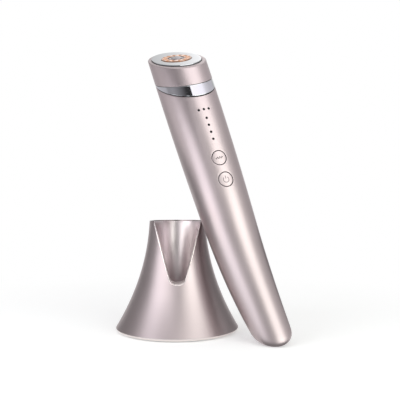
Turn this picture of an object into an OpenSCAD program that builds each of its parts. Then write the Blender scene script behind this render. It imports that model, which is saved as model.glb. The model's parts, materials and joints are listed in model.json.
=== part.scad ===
// Facial massager wand leaning on its bell-shaped stand.
// Millimetres. The origin is the centre of the stand's foot pad, on the surface it stands on.
// +Z is up and -Y is the side of the stand with the V-shaped slot.
// Wand pieces are drawn in the wand's own frame, with Z from its foot to its head and +X to its
// button side, and lean_wand() puts them in their place against the stand.

/* [Stand] */
// Height of the stand
stand_h = 68.9; // [60:0.1:76]
// Diameter of the stand's base
base_d = 79.6; // [74:0.2:90]
// Outer diameter of the rim
rim_d = 35.4; // [35:0.1:38]
// How strongly the bell's flare gathers near the base
flare_power = 2.1; // [1.8:0.05:2.4]
// Share of the flare that is curved, the rest being a straight cone
flare_curl = 0.84; // [0.7:0.01:1]
// Wall of the bell
stand_wall = 2.4; // [1.8:0.1:3]
// Rounding of the base edge
base_round = 1.4; // [0.8:0.1:2]
// Rounding of the rim's outer edge
rim_round = 0.7; // [0.4:0.1:1]
// Height of the bell's bottom edge above the surface
skirt_lift = 0.6; // [0.3:0.1:0.9]

/* [Slot and socket] */
// Width of the V-shaped slot at the rim
slot_top_w = 28.8; // [24:0.2:30]
// Width of the slot at its floor
slot_low_w = 10.1; // [8:0.1:13]
// Height of the slot's floor
slot_floor_z = 30.9; // [26:0.1:38]
// Rounding of the slot's lower corners
slot_corner = 2.2; // [1:0.1:3]
// Wall between the slot and the hollow bell
slot_wall = 1.8; // [1.2:0.1:2.5]
// Inner diameter of the socket at its mouth
socket_top_d = 29.8; // [28:0.1:30.2]
// Inner diameter of the socket at its floor
socket_low_d = 21; // [18:0.5:24]
// Height of the socket's floor
socket_floor_z = 14; // [12:0.5:20]
// Wall of the socket liner
liner_wall = 1.2; // [1:0.1:1.4]
// How far the liner's edge lies below the rim
liner_drop = 0.6; // [0.3:0.1:1.2]

/* [Stand base] */
// Thickness of the base plate
plate_t = 2.6; // [2.2:0.1:3.2]
// Thickness of the foot pad
pad_t = 1; // [0.8:0.1:1.5]
// Diameter of the steel weight
weight_d = 43; // [36:0.5:44]
// Height of the steel weight
weight_h = 7; // [4:0.5:8]
// Distance of the base screws from the stand's axis
base_screw_r = 26; // [25:0.2:27]
// Diameter of the base screws' shanks
base_screw_d = 2.5; // [2:0.1:3]

/* [Wand] */
// Diameter of the wand below its head
head_d = 36.5; // [35:0.1:40]
// Diameter that the wand tapers to at its foot
foot_d = 22.3; // [21.5:0.1:26]
// Distance along the wand from its foot to the centre of its face
wand_len = 186; // [180:1:205]
// How strongly the taper gathers near the foot
taper_power = 2.3; // [2:0.05:2.8]
// How far the foot bends toward the button side
foot_bend = 11; // [6:0.5:13]
// Length over which the foot bends
bend_len = 70; // [60:1:80]
// Slant of the foot's end
foot_slant = 34; // [20:1:36]
// Length over which the foot's slant fades out
slant_len = 37; // [32:1:42]
// Height of the rounding at the foot's end
foot_round = 5.5; // [4:0.5:7]
// Wall of the wand's body
wall = 1.8; // [1.5:0.1:2]

/* [Head] */
// Slant of the face
face_slant = 40.5; // [36:0.5:44]
// Distance along the wand from the face down to the band's upper edge
band_high_drop = 14.6; // [13.5:0.1:16]
// Slant of the band's upper edge
band_high_slant = 37.5; // [35:0.5:40]
// Distance along the wand from the face down to the band's lower edge
band_low_drop = 18.6; // [18:0.1:20]
// Slant of the band's lower edge
band_low_slant = 43; // [41:0.5:44]
// Thickness of the seal below the band
neck_seal_t = 0.5; // [0.3:0.1:0.8]
// Diameter of the face plate, across the wand
face_d = 31.3; // [30:0.1:31.6]
// Thickness of the face plate
face_t = 1.4; // [1:0.1:1.6]
// Outer diameter of the glowing ring
lens_d = 20; // [18:0.1:21]
// How far the glowing ring stands out of the face plate
lens_proud = 0.5; // [0.2:0.1:0.8]
// Diameter of the centre electrode
centre_d = 10.2; // [8:0.1:11]
// How far the centre electrode's dome stands out of the face plate
centre_proud = 1.1; // [0.6:0.1:1.6]
// Depth of the head carrier below the face
carrier_depth = 9; // [8.6:0.1:10]
// Number of lamps under the glowing ring
lamps = 6; // [4:1:8]

/* [Controls] */
// Distance along the wand from the face down to the power button
power_drop = 90; // [86:0.5:92]
// Distance between the two buttons
button_pitch = 13.7; // [12.5:0.1:15]
// Diameter of a button
button_d = 9.2; // [8:0.1:10]
// Gap round a button
button_gap = 0.2; // [0.15:0.05:0.3]
// How far a button travels
button_travel = 0.35; // [0.25:0.05:0.4]
// Distance along the wand from the face down to the row of level lights
level_drop = 44.5; // [43:0.1:46]
// Distance between neighbouring level lights
level_pitch = 3.3; // [2.6:0.1:3.6]
// Distance along the wand from the level lights to the first mode light
mode_drop = 5.8; // [5:0.1:7]
// Distance between neighbouring mode lights
mode_pitch = 4.6; // [4:0.1:5]
// Diameter of a light
light_d = 1.3; // [1:0.1:1.6]

/* [Inner parts] */
// Width of the main board
board_w = 15; // [13:0.5:16]
// Thickness of the main board
board_t = 1.2; // [0.8:0.1:1.6]
// Length of the main board, from just above the level lights down
board_len = 86.5; // [83:0.5:88.5]
// Space between the main board and the chassis plate
board_space = 1.8; // [1.4:0.1:2.2]
// Thickness of the chassis plate
chassis_t = 1.6; // [1.2:0.1:2]
// Height of a switch, with its plunger
switch_h = 2.5; // [2:0.1:3]
// Diameter of the battery cell
battery_d = 14; // [12:0.5:14.5]
// Length of the battery cell
battery_len = 50; // [44:0.5:51]
// Diameter of the vibration motor
motor_d = 10; // [8:0.5:10.5]
// Length of the vibration motor
motor_len = 18; // [14:0.5:20]
// Diameter of the motor's shaft
shaft_d = 1.5; // [1:0.1:2]
// Height of the charging port above the foot
port_z = 30; // [28:0.5:32]
// Width of the charging port
port_w = 8.9; // [8:0.1:9.2]
// Height of the charging port
port_h = 3.2; // [3:0.1:3.4]
// Diameter of an inner lead
lead_d = 1; // [0.8:0.1:1.2]

/* [Pose] */
// Distance of the wand's foot to the right of the stand's axis
foot_x = 52.7; // [48:0.1:58]
// Distance of the wand's foot in front of the stand's axis
foot_front = 30.8; // [26:0.1:36]
// Direction that the wand leans in, seen from above and counted from +X
lean_dir = 144.8; // [143:0.1:151]
// Turn of the wand about its own length, counted from the direction it leans in
wand_turn = 140.2; // [130:0.1:150]

/* [Hidden] */

rose = [0.72, 0.64, 0.65];
rose_dark = [0.55, 0.48, 0.49];
chrome = [0.85, 0.86, 0.88];
black = [0.1, 0.1, 0.11];
amber = [0.95, 0.6, 0.35];
board_green = [0.1, 0.35, 0.22];

$fn = 64;
small_fn = 24;
reach = 80;               // longer than anything that is cut with it
soft_gap = 0.3;           // between curved faces on different bodies
fit_gap = 0.15;           // between pieces that are put together by hand
screw_gap = 0.05;         // round a screw's shank
merge = 0.1;              // overlap of shapes that are one piece
floor_gap = 0.05;         // under the wand's foot

// Stand
rim_r = rim_d / 2;
base_r = base_d / 2;
bell_steps = 36;
arc_steps = 6;
cavity_top_z = stand_h - 19;
slot_over = 3;
plate_top_z = pad_t + plate_t;
pad_margin = 1.2;
boss_r = base_screw_d / 2 + 2;
post_r = 8;
screw_head_h = 1.6;
base_screw_top = pad_t + screw_head_h + 9;
screw_head_r = base_screw_d / 2 + 1.1;

// Radius of the bell's outside at height z
function stand_r(z) = let (t = 1 - z / stand_h)
    rim_r + (base_r - rim_r) * (flare_curl * pow(t, flare_power) + (1 - flare_curl) * t);

// The base plate fills the bell's mouth
plate_r = stand_r(plate_top_z) - stand_wall - fit_gap;
pad_r = plate_r - pad_margin;

// Inner radius of the socket at height z
function socket_r(z) = socket_low_d / 2
    + (socket_top_d - socket_low_d) / 2 * (z - socket_floor_z) / (stand_h - socket_floor_z);

// Points of an arc in the plane, from angle a0 to a1
function arc(centre, r, a0, a1, steps = arc_steps) =
    [for (i = [0:steps]) let (a = a0 + (a1 - a0) * i / steps) centre + r * [cos(a), sin(a)]];

// Points of the bell's outside between two heights, moved inward by inset
function bell_points(z0, z1, inset = 0) =
    [for (i = [0:bell_steps]) let (z = z0 + (z1 - z0) * i / bell_steps) [stand_r(z) - inset, z]];

// Wand
head_r = head_d / 2;
inner_r = head_r - wall;
face_z = wand_len;
band_high_z = face_z - band_high_drop;
band_low_z = face_z - band_low_drop;
power_z = face_z - power_drop;
level_z = power_z + button_pitch;
lights_z = face_z - level_drop;
modes = 4;
loft_sides = 48;
foot_rings = 6;
bend_rings = 14;
body_steps = 20;
seam_step = 0.05;         // between the lofted foot and the turned body above it

// Radius of the wand at height z along it
function wand_r(z) = head_r - (head_r - foot_d / 2) * pow(max(0, 1 - z / wand_len), taper_power);

// How far the wand's middle line lies toward the button side at height z
function wand_bend(z) = foot_bend * pow(max(0, 1 - z / bend_len), 2);

// Share of the radius that the rounded foot has at height z
function foot_share(z) = z >= foot_round ? 1 : pow(1 - pow(1 - z / foot_round, 3), 1 / 3);

// A point of the wand's skin at height z and angle a, moved inward by inset
function skin_point(z, a, inset = 0) =
    let (r = (wand_r(z) - inset) * foot_share(z - inset),
        slope = tan(foot_slant) * pow(max(0, 1 - z / slant_len), 2))
    [wand_bend(z) + r * cos(a), r * sin(a), z - slope * r * cos(a)];

// Heights of the rings that the foot's skin is drawn through, up to where the bend ends
function ring_heights(inset) = concat(
    [for (i = [1:foot_rings]) inset + foot_round * (1 - pow(cos(90 * i / foot_rings), 2 / 3))],
    [for (i = [1:bend_rings]) let (low = inset + foot_round)
        low + (bend_len - low) * pow(i / bend_rings, 1.25)]);

// Rings of the foot's skin, from the foot's end up
function skin_rings(inset) = [for (z = ring_heights(inset))
    [for (j = [0:loft_sides - 1]) skin_point(z, 360 * j / loft_sides, inset)]];

// The same list from its end to its start
function reversed(list) = [for (i = [len(list) - 1:-1:0]) list[i]];

// Points of the skin above the bend, seen from the side
function body_points(inset) = [for (i = [0:body_steps])
    let (z = bend_len + (wand_len - bend_len) * i / body_steps) [wand_r(z) - inset, z]];

// Lean of the wand: its foot stands on the surface and its flank rests on the rim
rim_rest_z = stand_h - rim_round;
rim_rest_r = rim_r - rim_round;
rim_from = asin(min(1, slot_top_w / 2 / rim_r)) + 2;
lean_steps = 16;

// A point of the wand's frame turned as the wand is turned and leaned
function leaned(p, lean) =
    let (x = cos(wand_turn) * p.x - sin(wand_turn) * p.y,
        y = sin(wand_turn) * p.x + cos(wand_turn) * p.y,
        u = cos(lean) * x + sin(lean) * p.z)
    [cos(lean_dir) * u - sin(lean_dir) * y, sin(lean_dir) * u + cos(lean_dir) * y,
        cos(lean) * p.z - sin(lean) * x];

// Height to lift the wand's frame by, so that its foot just clears the surface
function foot_lift(lean) = floor_gap - min([for (z = ring_heights(seam_step), a = [0:15:345])
    leaned(skin_point(z, a, seam_step), lean).z]);

// Gap between the wand's flank and the rim
function rim_gap(lean) = let (foot = [foot_x, -foot_front, foot_lift(lean)])
    min([for (a = [rim_from:3:rim_from + 36], z = [60:2:110])
        norm([rim_rest_r * sin(a), -rim_rest_r * cos(a), rim_rest_z]
            - foot - leaned([wand_bend(z), 0, z], lean)) - wand_r(z) - rim_round]);

// The lean between two angles at which the gap is soft_gap, by halving
function lean_for(low, high, steps) = steps == 0 ? (low + high) / 2
    : let (middle = (low + high) / 2)
        rim_gap(middle) > soft_gap ? lean_for(middle, high, steps - 1)
            : lean_for(low, middle, steps - 1);

lean = lean_for(0, 50, lean_steps);
lift = foot_lift(lean);

// Head, from the face down: plate, seal, carrier, neck frame
head_low_z = wand_len - 45;
head_high_z = wand_len + 20;
neck_groove = 0.5;
lip_t = 2.4;
seal_w = 1;
carrier_r = inner_r - soft_gap;
neck_floor_t = 2.6;
neck_depth = 15;
neck_wall = 2;
lens_flange = 1.4;
lens_flange_low = face_t + 1.2;
lens_ledge_t = 1.4;
lens_ledge_w = 1.9;
lens_edge = 0.3;
centre_stem_r = lens_ledge_w - 0.5;
lamp_board_t = 1;
lamp_ledge_w = 0.6;
carrier_floor_t = 1;
lamp_board_top = 5.2;
lamp_board_r = lens_d / 2 - 0.2;
lamp_size = 2.8;
lamp_h = 1.2;
pin_r = 0.8;
pin_tail = 0.8;
pin_x = lens_d / 2 + lens_flange + 3.6;
pin_y = 5.5;
head_screw_r = 0.7;
head_screw_head_r = 1.2;
head_screw_head_h = 1;
head_screw_top = face_t + seal_w + 0.2;
head_screw_side = (face_d / 2 - seal_w + lens_d / 2 + lens_flange) / 2;
head_screw_front = lens_d / 2 + lens_flange + 5;
head_screw_places = [[2, head_screw_side], [2, -head_screw_side], [head_screw_front, 0]];
wire_hole_r = 2.2;

// Stack behind a button, from the wall inward
flange_w = 0.9;
flange_t = 0.9;
stem_r = 1.2;
stem_min = 0.5;
press_gap = button_travel + screw_gap;
button_r = button_d / 2;

// Front side of the wall's inner face at height z, y to the side
function inner_front(z, y = 0) = wand_bend(z) + sqrt(pow(wand_r(z) - wall, 2) - y * y);

// Top of a button's flange at height z
function flange_x(z) = inner_front(z, button_r + flange_w) - soft_gap;

board_front = flange_x(power_z) - flange_t - stem_min - press_gap - switch_h;
board_back = board_front - board_t;
board_middle = board_front - board_t / 2;
switch_top = board_front + switch_h;
plate_front = board_back - board_space;
plate_back = plate_front - chassis_t;
board_top_z = lights_z + 3;
board_low_z = board_top_z - board_len;
switch_w = 4.6;
switch_case_share = 0.7;
plunger_r = 1.1;
led_size = 1.6;
led_h = 0.8;
// Chips on the board: height above its lower end, place to the side, and size
chips = [[7, 0, [3, 8, 8]], [18, -2.5, [1, 6, 6]], [18, 4.5, [1.4, 3, 4]], [27, -4.5, [1, 3, 3]],
    [27, 2, [1, 4, 5]]];
rail_t = 1.3;
ledge_w = 1;

// Battery and motor hang behind the chassis plate
battery_x = plate_back - soft_gap - battery_d / 2;
battery_z = board_low_z + 2;
battery_top_z = battery_z + battery_len;
tab_t = 0.3;
tab_r = battery_d * 0.3;
lead_y = 2;
motor_x = plate_back - soft_gap - motor_d / 2;
motor_z = battery_top_z + 6;
motor_top_z = motor_z + motor_len;
shaft_in = 5;
shaft_out = 7;
shaft_end_gap = 0.5;
hub_w = 1;
weight_r = motor_d / 2 - 0.8;
eccentric_h = 5;
cradle_t = 3;
cradle_wall = 1.2;
window_z = battery_top_z + 3;
window_y = 5;
window_r = 1.6;

// Posts that carry the neck frame
post_y = 10;
post_w = 3.6;
post_x = 3.5;
post_low_z = board_top_z - 14;
chassis_screw_r = 0.8;
chassis_screw_len = 6.5;
chassis_screw_head_r = 1.6;
chassis_screw_head_h = 1.1;
neck_floor_low = carrier_depth + neck_floor_t;

// Charging port and its board
charge_board_t = 1;
charge_board_top = port_z - port_h / 2;
charge_board_half = 6.5;
charge_board_back = -3.5;
charge_board_front = 9;
port_len = 7.3;
port_gap = 0.25;
port_shell = 0.35;
port_back_wall = 1;
port_tongue_t = 0.7;
port_tongue_side = 1.2;
port_mouth = 1.2;
port_back = wand_bend(port_z) - wand_r(port_z) + port_mouth;
lead_swell = 0.06;
lead_stub = 1.4;
lead_rise = 6;
head_rise = 3;
shelf_t = 2;
shelf_w = 5;
shelf_in = 2;
tail_half = 3.5;

// Frames

// Puts a piece drawn in the wand's frame in its place beside the stand
module lean_wand()
    translate([foot_x, -foot_front, lift])
        rotate([0, 0, lean_dir]) rotate([0, lean, 0]) rotate([0, 0, wand_turn]) children();

// A plane across the wand at height z, slanted down toward the button side
module slanted(z, slant) translate([0, 0, z]) rotate([0, slant, 0]) children();

// Everything above such a plane
module above(z, slant)
    slanted(z, slant) translate([-reach, -reach, 0]) cube(2 * reach);

// Everything below such a plane
module below(z, slant)
    slanted(z, slant) translate([-reach, -reach, -2 * reach]) cube(2 * reach);

// A slice along the face, from depth low up to depth high below it
module face_slice(low, high) slanted(face_z, face_slant)
    translate([-reach / 2, -reach / 2, -low]) cube([reach, reach, low - high]);

// A cylinder square to the face at place [x, y], from depth low up to depth high
module face_rod(r, low, high, place = [0, 0]) slanted(face_z, face_slant)
    translate([place.x, place.y, -low]) cylinder(h = low - high, r = r);

// A rod along +X at height z and side y, from x0 to x1
module front_rod(r, x0, x1, z, y = 0)
    translate([x0, y, z]) rotate([0, 90, 0]) cylinder(h = x1 - x0, r = r);

// Shapes

// A cylinder about Z between two heights
module cylinder_from(z0, z1, r) translate([0, 0, z0]) cylinder(h = z1 - z0, r = r);

// A closed solid through rings that have the same number of points
module loft(rings) {
    count = len(rings);
    sides = len(rings[0]);
    quads = [for (i = [0:count - 2], j = [0:sides - 1])
        let (a = i * sides + j, b = i * sides + (j + 1) % sides)
        each [[a, a + sides, b], [b, a + sides, b + sides]]];
    low = [for (j = [0:sides - 1]) j];
    high = [for (j = [sides - 1:-1:0]) (count - 1) * sides + j];
    polyhedron([for (ring = rings) each ring], concat([low], quads, [high]));
}

// The wand's skin near height z, as a cone that flush pieces are cut to
module skin_cone(z, half, inset) translate([wand_bend(z), 0, z - half])
    cylinder(h = 2 * half, r1 = wand_r(z - half) - inset, r2 = wand_r(z + half) - inset);

// A round bar about the wand's length, tall enough for every head piece
module head_bar(r) cylinder_from(head_low_z, head_high_z, r);

// A ring about the wand's length between two radii, as tall as the bar
module head_tube(outer, inner) difference() {
    head_bar(outer);
    cylinder_from(head_low_z - 1, head_high_z + 1, inner);
}

// A lead along points, as rods with round joints
module lead(points) for (i = [0:len(points) - 2]) {
    step = points[i + 1] - points[i];
    long = norm(step);
    translate(points[i]) rotate([0, acos(step.z / long), atan2(step.y, step.x)]) {
        cylinder(h = long, r = lead_d / 2, $fn = small_fn);
        if (i > 0) sphere(r = lead_d / 2 + lead_swell, $fn = small_fn);
    }
}

// Outline of the V-shaped slot in the plane of X and Z, moved outward by grow
module slot_outline(grow = 0) {
    floor_z = slot_floor_z - grow;
    low = slot_low_w / 2 + grow;
    slope = (slot_top_w - slot_low_w) / 2 / (stand_h - slot_floor_z);
    top_z = stand_h + slot_over;
    top = low + slope * (top_z - slot_floor_z);
    corner = slot_corner + grow;
    polygon(concat(
        arc([-low + corner, floor_z + corner], corner, 180, 270),
        arc([low - corner, floor_z + corner], corner, 270, 360),
        [[top, top_z], [-top, top_z]]));
}

// The slot through the front of the stand
module slot_cut(grow = 0) rotate([90, 0, 0]) linear_extrude(reach) slot_outline(grow);

// The socket's cone between two heights, grown by grow
module socket_cone(z0, z1, grow = 0) translate([0, 0, z0])
    cylinder(h = z1 - z0, r1 = socket_r(z0) + grow, r2 = socket_r(z1) + grow);

// Copies at the base screws' places
module at_base_screws() for (a = [30:120:270]) rotate([0, 0, a])
    translate([base_screw_r, 0, 0]) children();

// Stand

module foot_pad() color("dimgray") cylinder(h = pad_t, r = pad_r);

module base_plate() color("gray") difference() {
    union() {
        cylinder_from(pad_t, plate_top_z, plate_r);
        cylinder_from(pad_t, socket_floor_z - liner_wall, post_r);
    }
    at_base_screws() {
        cylinder_from(0, plate_top_z + 1, base_screw_d / 2 + fit_gap);
        cylinder_from(0, pad_t + screw_head_h, screw_head_r + fit_gap);
    }
}

module base_screws() color("silver") at_base_screws() {
    cylinder_from(pad_t, pad_t + screw_head_h, screw_head_r);
    cylinder_from(pad_t + screw_head_h, base_screw_top, base_screw_d / 2);
}

module stand_weight() color("darkgray") difference() {
    cylinder_from(plate_top_z, plate_top_z + weight_h, weight_d / 2);
    cylinder_from(0, plate_top_z + weight_h + 1, post_r + fit_gap);
}

// The bell as a full solid of revolution
module bell_solid() {
    edge_z = skirt_lift + base_round;
    rotate_extrude() polygon(concat(
        [[0, skirt_lift]],
        arc([stand_r(edge_z) - base_round, edge_z], base_round, -90, 0),
        bell_points(edge_z, stand_h - rim_round),
        arc([rim_r - rim_round, stand_h - rim_round], rim_round, 0, 90),
        [[0, stand_h]]));
}

// The hollow inside the bell, below its solid neck
module bell_hollow() rotate_extrude() polygon(concat(
    [[0, -1], [stand_r(0) - stand_wall, -1]],
    bell_points(0, cavity_top_z, stand_wall),
    [[0, cavity_top_z]]));

module stand_shell() color(rose) difference() {
    bell_solid();
    difference() {
        bell_hollow();
        slot_cut(slot_wall);
        at_base_screws() cylinder_from(plate_top_z, stand_h, boss_r);
    }
    socket_cone(socket_floor_z - liner_wall - 1, stand_h + 1, liner_wall + fit_gap);
    slot_cut();
    at_base_screws() cylinder_from(0, base_screw_top + 1, base_screw_d / 2 + screw_gap);
}

module socket_liner() color(rose_dark) difference() {
    socket_cone(socket_floor_z - liner_wall, stand_h - liner_drop, liner_wall);
    socket_cone(socket_floor_z, stand_h + 1);
    slot_cut();
}

// Wand body

module body_shell() color(rose) lean_wand() {
    difference() {
        rotate_extrude() polygon(concat(body_points(0), reversed(body_points(wall))));
        above(band_low_z - neck_seal_t / 2, band_low_slant);
        for (z = [power_z, level_z]) front_rod(button_r + button_gap, 0, reach, z);
        light_places() front_rod(light_d / 2 + screw_gap, 0, reach, 0, $fn = small_fn);
    }
    difference() {
        loft(concat(skin_rings(seam_step), reversed(skin_rings(wall - seam_step))));
        port_opening();
    }
    board_shelves();
}

// Two shelves on the inside of the wall that carry the charging board
module board_shelves() {
    end = wand_r(port_z) - wall / 2;
    for (side = [-1, 1]) translate([wand_bend(port_z) - shelf_w / 2,
            side > 0 ? charge_board_half - shelf_in : -end,
            charge_board_top - charge_board_t - shelf_t])
        cube([shelf_w, end - charge_board_half + shelf_in, shelf_t]);
}

// Opening for the charging port, with round ends
module port_opening() {
    r = port_h / 2 + port_gap;
    side = (port_w - port_h) / 2;
    for (y = [-side, side]) front_rod(r, -reach, charge_board_back, port_z, y, $fn = small_fn);
    translate([-reach, -side, port_z - r]) cube([reach + charge_board_back, 2 * side, 2 * r]);
}

// Copies at every small light, drawn at the front of the wand
module light_places() {
    level_places() children();
    mode_places() children();
}

module level_places() for (i = [-1:1]) translate([0, i * level_pitch, lights_z]) children();

module mode_places()
    for (i = [0:modes - 1]) translate([0, 0, lights_z - mode_drop - i * mode_pitch]) children();

// Light guides from just above their lamps to the skin, at the places that children() are put
module light_guide() front_rod(light_d / 2, board_front + led_h + fit_gap, reach, 0,
    $fn = small_fn);

module level_lights() color(black) lean_wand() intersection() {
    level_places() light_guide();
    skin_cone(lights_z, light_d, screw_gap);
}

module mode_lights() color(black) lean_wand() intersection() {
    mode_places() light_guide();
    skin_cone(lights_z - mode_drop - (modes - 1) / 2 * mode_pitch,
        modes / 2 * mode_pitch, screw_gap);
}

// A button at height z: cap, flange inside the wall, and the stem over its switch
module button(z) {
    top = flange_x(z);
    intersection() {
        front_rod(button_r, top - flange_t, reach, z);
        skin_cone(z, button_d, screw_gap);
    }
    front_rod(button_r + flange_w, top - flange_t, top, z);
    front_rod(stem_r, switch_top + press_gap, top - flange_t + merge, z, $fn = small_fn);
}

module level_button() color(rose) lean_wand() button(level_z);

module power_button() color(rose) lean_wand() button(power_z);

// Head

module neck_seal() color(black) lean_wand() difference() {
    head_tube(head_r - neck_groove, inner_r);
    above(band_low_z + neck_seal_t / 2, band_low_slant);
    below(band_low_z - neck_seal_t / 2, band_low_slant);
}

module chrome_band() color(chrome) lean_wand() difference() {
    head_tube(head_r, inner_r);
    above(band_high_z, band_high_slant);
    below(band_low_z + neck_seal_t / 2, band_low_slant);
}

module head_cap() color(rose) lean_wand() difference() {
    head_bar(head_r);
    below(band_high_z + fit_gap, band_high_slant);
    above(face_z, face_slant);
    difference() {
        head_bar(inner_r);
        face_slice(lip_t, -1);
    }
    head_bar(face_d / 2 + fit_gap);
}

module neck_frame() color("dimgray") lean_wand() difference() {
    intersection() {
        head_bar(carrier_r);
        face_slice(neck_depth, carrier_depth);
    }
    intersection() {
        head_bar(carrier_r - neck_wall);
        face_slice(neck_depth + 1, neck_floor_low);
    }
    face_rod(wire_hole_r, neck_floor_low + 1, carrier_depth - 1);
    for (side = [-1, 1]) {
        face_rod(pin_r + lead_d / 2, neck_floor_low + 1, carrier_depth - 1, [pin_x, side * pin_y]);
        face_rod(chassis_screw_r + screw_gap, neck_floor_low + 1, carrier_depth - 1,
            chassis_screw_place(side));
        face_rod(chassis_screw_head_r + fit_gap, carrier_depth + chassis_screw_head_h,
            carrier_depth - 1, chassis_screw_place(side));
    }
    for (place = head_screw_places)
        face_rod(head_screw_r + screw_gap, neck_floor_low + 1, carrier_depth - 1, place);
}

// Place on the face of the screw into the chassis post on one side
function chassis_screw_place(side) = [neck_floor_low * tan(face_slant) + 1, side * post_y];

module head_screws() color("silver") lean_wand() for (place = head_screw_places) {
    face_rod(head_screw_head_r, head_screw_top + head_screw_head_h, head_screw_top, place);
    face_rod(head_screw_r, neck_floor_low - fit_gap, head_screw_top + head_screw_head_h, place,
        $fn = small_fn);
}

module head_carrier() color("gray") lean_wand() difference() {
    union() {
        intersection() {
            head_bar(carrier_r);
            face_slice(carrier_depth, lip_t + merge);
        }
        intersection() {
            head_bar(face_d / 2 - seal_w - merge);
            face_slice(lip_t + 2 * merge, face_t);
        }
    }
    face_rod(lens_d / 2 + lens_flange + fit_gap, lens_flange_low, 0);
    face_rod(lamp_board_r + fit_gap, lamp_board_top + lamp_board_t, 0);
    face_rod(lamp_board_r - lamp_ledge_w, carrier_depth - carrier_floor_t, 0);
    face_rod(wire_hole_r, carrier_depth + 1, 0);
    for (side = [-1, 1]) face_rod(pin_r + screw_gap, carrier_depth + 1, 0, [pin_x, side * pin_y]);
    for (place = head_screw_places) {
        face_rod(head_screw_r + screw_gap, carrier_depth + 1, 0, place);
        face_rod(head_screw_head_r + fit_gap, head_screw_top + head_screw_head_h, 0, place);
    }
}

module face_seal() color(black) lean_wand() intersection() {
    head_tube(face_d / 2, face_d / 2 - seal_w);
    face_slice(lip_t - screw_gap, face_t);
}

module face_plate() color(chrome) lean_wand() difference() {
    intersection() {
        head_bar(face_d / 2);
        face_slice(face_t, 0);
    }
    face_rod(lens_d / 2 + fit_gap, face_t + 1, -1);
}

module contact_pins() color("gold") lean_wand() for (side = [-1, 1])
    face_rod(pin_r, carrier_depth + pin_tail, face_t, [pin_x, side * pin_y], $fn = small_fn);

module lens_ring() color(amber) lean_wand() slanted(face_z, face_slant) rotate_extrude()
    polygon([
        [centre_d / 2 - lens_ledge_w, -lens_flange_low],
        [lens_d / 2 + lens_flange, -lens_flange_low],
        [lens_d / 2 + lens_flange, -face_t - merge],
        [lens_d / 2, -face_t - merge],
        [lens_d / 2, lens_proud - lens_edge],
        [lens_d / 2 - lens_edge, lens_proud],
        [centre_d / 2 + fit_gap, lens_proud],
        [centre_d / 2 + fit_gap, -lens_flange_low + lens_ledge_t],
        [centre_d / 2 - lens_ledge_w, -lens_flange_low + lens_ledge_t]]);

module centre_electrode() color("silver") lean_wand() slanted(face_z, face_slant) {
    rim_h = centre_proud / 2;
    dome_r = (pow(centre_d / 2, 2) + rim_h * rim_h) / (2 * rim_h);
    dome_a = asin(centre_d / 2 / dome_r);
    rotate_extrude() polygon(concat(
        [[0, -lamp_board_top], [centre_stem_r, -lamp_board_top],
            [centre_stem_r, -lens_flange_low + lens_ledge_t],
            [centre_d / 2, -lens_flange_low + lens_ledge_t]],
        arc([0, centre_proud - dome_r], dome_r, 90 - dome_a, 90)));
}

module lamp_board() color(board_green) lean_wand()
    face_rod(lamp_board_r, lamp_board_top + lamp_board_t, lamp_board_top);

module head_lamps() color("gold") lean_wand() slanted(face_z, face_slant)
    for (i = [0:lamps - 1]) rotate([0, 0, 360 * (i + 0.5) / lamps])
        translate([(lens_d + centre_d) / 4, 0, -lamp_board_top + lamp_h / 2])
            cube([lamp_size, lamp_size, lamp_h], center = true);

// Boards and switches

module main_board() color(board_green) lean_wand()
    translate([board_back, -board_w / 2, board_low_z])
        cube([board_t, board_w, board_top_z - board_low_z]);

// A box on the front of the main board, centred at height z and side y
module board_box(z, y, size) translate([board_front, y - size.y / 2, z - size.z / 2]) cube(size);

// A switch at height z: its body and the plunger under the button
module switch(z) {
    board_box(z, 0, [switch_h * switch_case_share, switch_w, switch_w]);
    front_rod(plunger_r, board_front, switch_top, z, $fn = small_fn);
}

module level_switch() color("silver") lean_wand() switch(level_z);

module power_switch() color("silver") lean_wand() switch(power_z);

module indicator_leds() color("white") lean_wand() light_places()
    board_box(0, 0, [led_h, led_size, led_size]);

module board_chips() color(black) lean_wand() {
    for (chip = chips) board_box(board_low_z + chip[0], chip[1], chip[2]);
}

// Chassis

// A saddle behind the chassis plate round a cell of diameter d whose middle is at x
module cradle(x, d, z) translate([0, 0, z]) difference() {
    translate([x - 1, -d / 2 - cradle_wall - soft_gap, 0])
        cube([plate_back - x + 1 + merge, d + 2 * (cradle_wall + soft_gap), cradle_t]);
    translate([x, 0, -1]) cylinder(h = cradle_t + 2, r = d / 2 + fit_gap);
}

module chassis() color("lightgray") lean_wand() difference() {
    union() {
        half = board_w / 2 + fit_gap + rail_t;
        translate([plate_back, -half, board_low_z - 1])
            cube([chassis_t, 2 * half, board_top_z - board_low_z + 1]);
        for (side = [-1, 1]) {
            translate([plate_back, side > 0 ? half - rail_t : -half, board_low_z - 1])
                cube([board_front - plate_back, rail_t, board_top_z - board_low_z + 1]);
            translate([plate_front - merge, side * (board_w - ledge_w) / 2 - ledge_w / 2,
                    board_low_z])
                cube([board_space + merge, ledge_w, board_top_z - board_low_z]);
            chassis_post(side);
        }
        translate([plate_back, -tail_half, charge_board_top])
            cube([chassis_t, 2 * tail_half, board_low_z - charge_board_top]);
        for (z = [battery_z + cradle_t, battery_z + battery_len / 2, battery_top_z - cradle_t])
            cradle(battery_x, battery_d, z - cradle_t / 2);
        for (z = [motor_z + cradle_t, motor_top_z - cradle_t])
            cradle(motor_x, motor_d, z - cradle_t / 2);
    }
    for (side = [-1, 1])
        front_rod(window_r, plate_back - 1, board_front, window_z, side * window_y, $fn = small_fn);
}

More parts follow.
